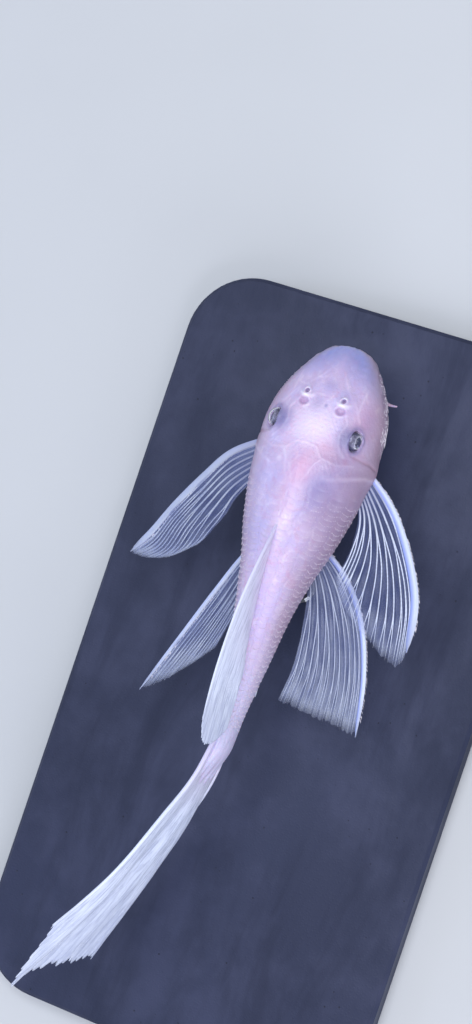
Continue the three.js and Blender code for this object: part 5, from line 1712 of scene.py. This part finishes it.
class PLECO_OT_mouth(bpy.types.Operator):
    """Builds the sucker mouth with its warts, feelers and combs of teeth"""
    bl_idname = "pleco.mouth"
    bl_label = "Mouth"

    def execute(self, context):
        shape = joined([mouth_disc(), barbel(1), barbel(-1)])
        make_piece("sucker_mouth", shape, [lip_material(context.scene.pleco_body)], ("mouth",))
        make_piece("teeth", tooth_combs(), [tooth_material()])
        return {"FINISHED"}


class PLECO_OT_fins(bpy.types.Operator):
    """Builds every fin: branched, jointed rays with a clear membrane between them"""
    bl_idname = "pleco.fins"
    bl_label = "Fins"

    def execute(self, context):
        settings = context.scene.pleco_fins
        materials = [web_material(settings), ray_material(settings), prickle_material()]
        for node, fin in FINS.items():
            make_piece(f"rays_{node}", fin_shape(fin, settings), materials, (node,))
        return {"FINISHED"}


class PLECO_OT_stand(bpy.types.Operator):
    """Gives the base a slate finish and the rods a turned steel one"""
    bl_idname = "pleco.stand"
    bl_label = "Stand finish"

    def execute(self, context):
        settings = context.scene.pleco_stand
        slate = slate_material(settings)
        steel = steel_material(settings)
        for node, material in (("stand_base", slate), ("stand_rod_front", steel), ("stand_rod_rear", steel)):
            for material_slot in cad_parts[node].material_slots:
                material_slot.material = material
        return {"FINISHED"}


# Stage: the camera's place in millimetres, and the floor and soft lights in metres
CAMERA = {
    "target": (30.4, 11.5, 28.0), "distance": 420, "tilt": math.radians(18), "roll": math.radians(18.7),
    "sensor": 36, "clip_start": 0.01,
}
FLOOR_SIZE = 6.0
LIGHT_TARGET = (0.02, 0, 0.03)
LIGHTS = [
    {"name": "key_light", "place": (0.14, -0.04, 0.68), "size": 0.45, "power": "key_power",
     "colour": (0.88, 0.92, 1.0)},
    {"name": "fill_light", "place": (-0.42, -0.42, 0.33), "size": 0.5, "power": "fill_power",
     "colour": (0.86, 0.88, 1.0)},
    {"name": "rim_light", "place": (-0.05, 0.6, 0.3), "size": 0.35, "power": "rim_power",
     "colour": (0.62, 0.74, 1.0)},
]
ROOM_COLOUR = (0.86, 0.9, 1.0, 1)


def add_light(light, settings):
    """A square area light that faces the fish."""
    data = bpy.data.lights.new(light["name"], "AREA")
    data.shape = "SQUARE"
    data.size = light["size"]
    data.energy = getattr(settings, light["power"])
    data.color = light["colour"]
    lamp = bpy.data.objects.new(light["name"], data)
    lamp.location = light["place"]
    aim = Vector(LIGHT_TARGET) - Vector(light["place"])
    lamp.rotation_euler = aim.to_track_quat("-Z", "Y").to_euler()
    bpy.context.scene.collection.objects.link(lamp)


def add_floor(settings):
    """A wide pale floor with a soft unevenness."""
    half = FLOOR_SIZE / 2
    corners = [(-half, -half, 0), (half, -half, 0), (half, half, 0), (-half, half, 0)]
    mesh = bpy.data.meshes.new("floor")
    mesh.from_pydata(corners, [], [(0, 1, 2, 3)])
    floor = bpy.data.objects.new("floor", mesh)
    bpy.context.scene.collection.objects.link(floor)
    material, nodes, shader = new_material("floor_paint")
    darker = [0.95 * part for part in settings.floor_colour]
    colour = nodes.mottled(settings.floor_colour, darker, 6, 0.5)
    dress(nodes, shader, Base_Color=colour, Roughness=0.7,
          Normal=nodes.bump(nodes.grain(900, 1.0), 0.05, 0.0001))
    mesh.materials.append(material)


def add_camera(settings):
    """The camera of the photograph: above the fish's right side, turned so that the head is up."""
    tilt, roll = CAMERA["tilt"], CAMERA["roll"]
    look = np.array([0, math.sin(tilt), -math.cos(tilt)])
    level_right = np.array([0, -math.cos(tilt), -math.sin(tilt)])
    level_up = np.array([1.0, 0, 0])
    right = math.cos(roll) * level_right + math.sin(roll) * level_up
    up = math.cos(roll) * level_up - math.sin(roll) * level_right
    place = (np.array(CAMERA["target"]) - CAMERA["distance"] * look) * MM
    data = bpy.data.cameras.new("camera")
    data.lens = settings.lens
    data.sensor_width = CAMERA["sensor"]
    data.clip_start = CAMERA["clip_start"]
    camera = bpy.data.objects.new("camera", data)
    bpy.context.scene.collection.objects.link(camera)
    rows = [[right[i], up[i], -look[i], place[i]] for i in range(3)] + [[0, 0, 0, 1]]
    camera.matrix_world = Matrix(rows)
    bpy.context.scene.camera = camera


class PLECO_OT_stage(bpy.types.Operator):
    """Adds the pale floor, the soft lights and the camera"""
    bl_idname = "pleco.stage"
    bl_label = "Studio"

    def execute(self, context):
        settings = context.scene.pleco_stage
        scene = context.scene
        scene.view_settings.view_transform = "Standard"
        add_camera(settings)
        add_floor(settings)
        for light in LIGHTS:
            add_light(light, settings)
        world = bpy.data.worlds.new("room")
        world.use_nodes = True
        backdrop = world.node_tree.nodes["Background"]
        backdrop.inputs["Color"].default_value = ROOM_COLOUR
        backdrop.inputs["Strength"].default_value = settings.sky_strength
        scene.world = world
        return {"FINISHED"}


class PLECO_PT_panel(bpy.types.Panel):
    """Lists the steps that build the pleco model and their settings"""
    bl_label = "Bristlenose pleco"
    bl_idname = "PLECO_PT_panel"
    bl_space_type = "VIEW_3D"
    bl_region_type = "UI"
    bl_category = "Pleco"

    def draw(self, context):
        for operator in OPERATORS:
            self.layout.operator(operator.bl_idname)
        for group in SETTINGS:
            settings = getattr(context.scene, group)
            for name in settings.bl_rna.properties.keys():
                if name not in {"rna_type", "name"}:
                    self.layout.prop(settings, name)


OPERATORS = (
    PLECO_OT_stage, PLECO_OT_skin, PLECO_OT_prickles, PLECO_OT_eyes, PLECO_OT_mouth, PLECO_OT_fins,
    PLECO_OT_stand,
)
SETTINGS = {
    "pleco_body": PlecoBodySettings,
    "pleco_fins": PlecoFinSettings,
    "pleco_stand": PlecoStandSettings,
    "pleco_stage": PlecoStageSettings,
}
CLASSES = (*SETTINGS.values(), *OPERATORS, PLECO_PT_panel)


def register():
    """Adds the classes and hangs their settings on the scene."""
    for one_class in CLASSES:
        bpy.utils.register_class(one_class)
    for name, group in SETTINGS.items():
        setattr(bpy.types.Scene, name, bpy.props.PointerProperty(type=group))


def unregister():
    """Takes away what register added."""
    for name in SETTINGS:
        delattr(bpy.types.Scene, name)
    for one_class in reversed(CLASSES):
        bpy.utils.unregister_class(one_class)


def main():
    """Builds everything in order."""
    register()
    bpy.ops.pleco.stage()
    bpy.ops.pleco.skin()
    bpy.ops.pleco.prickles()
    bpy.ops.pleco.eyes()
    bpy.ops.pleco.mouth()
    bpy.ops.pleco.fins()
    bpy.ops.pleco.stand()


if __name__ == "__main__":
    main()
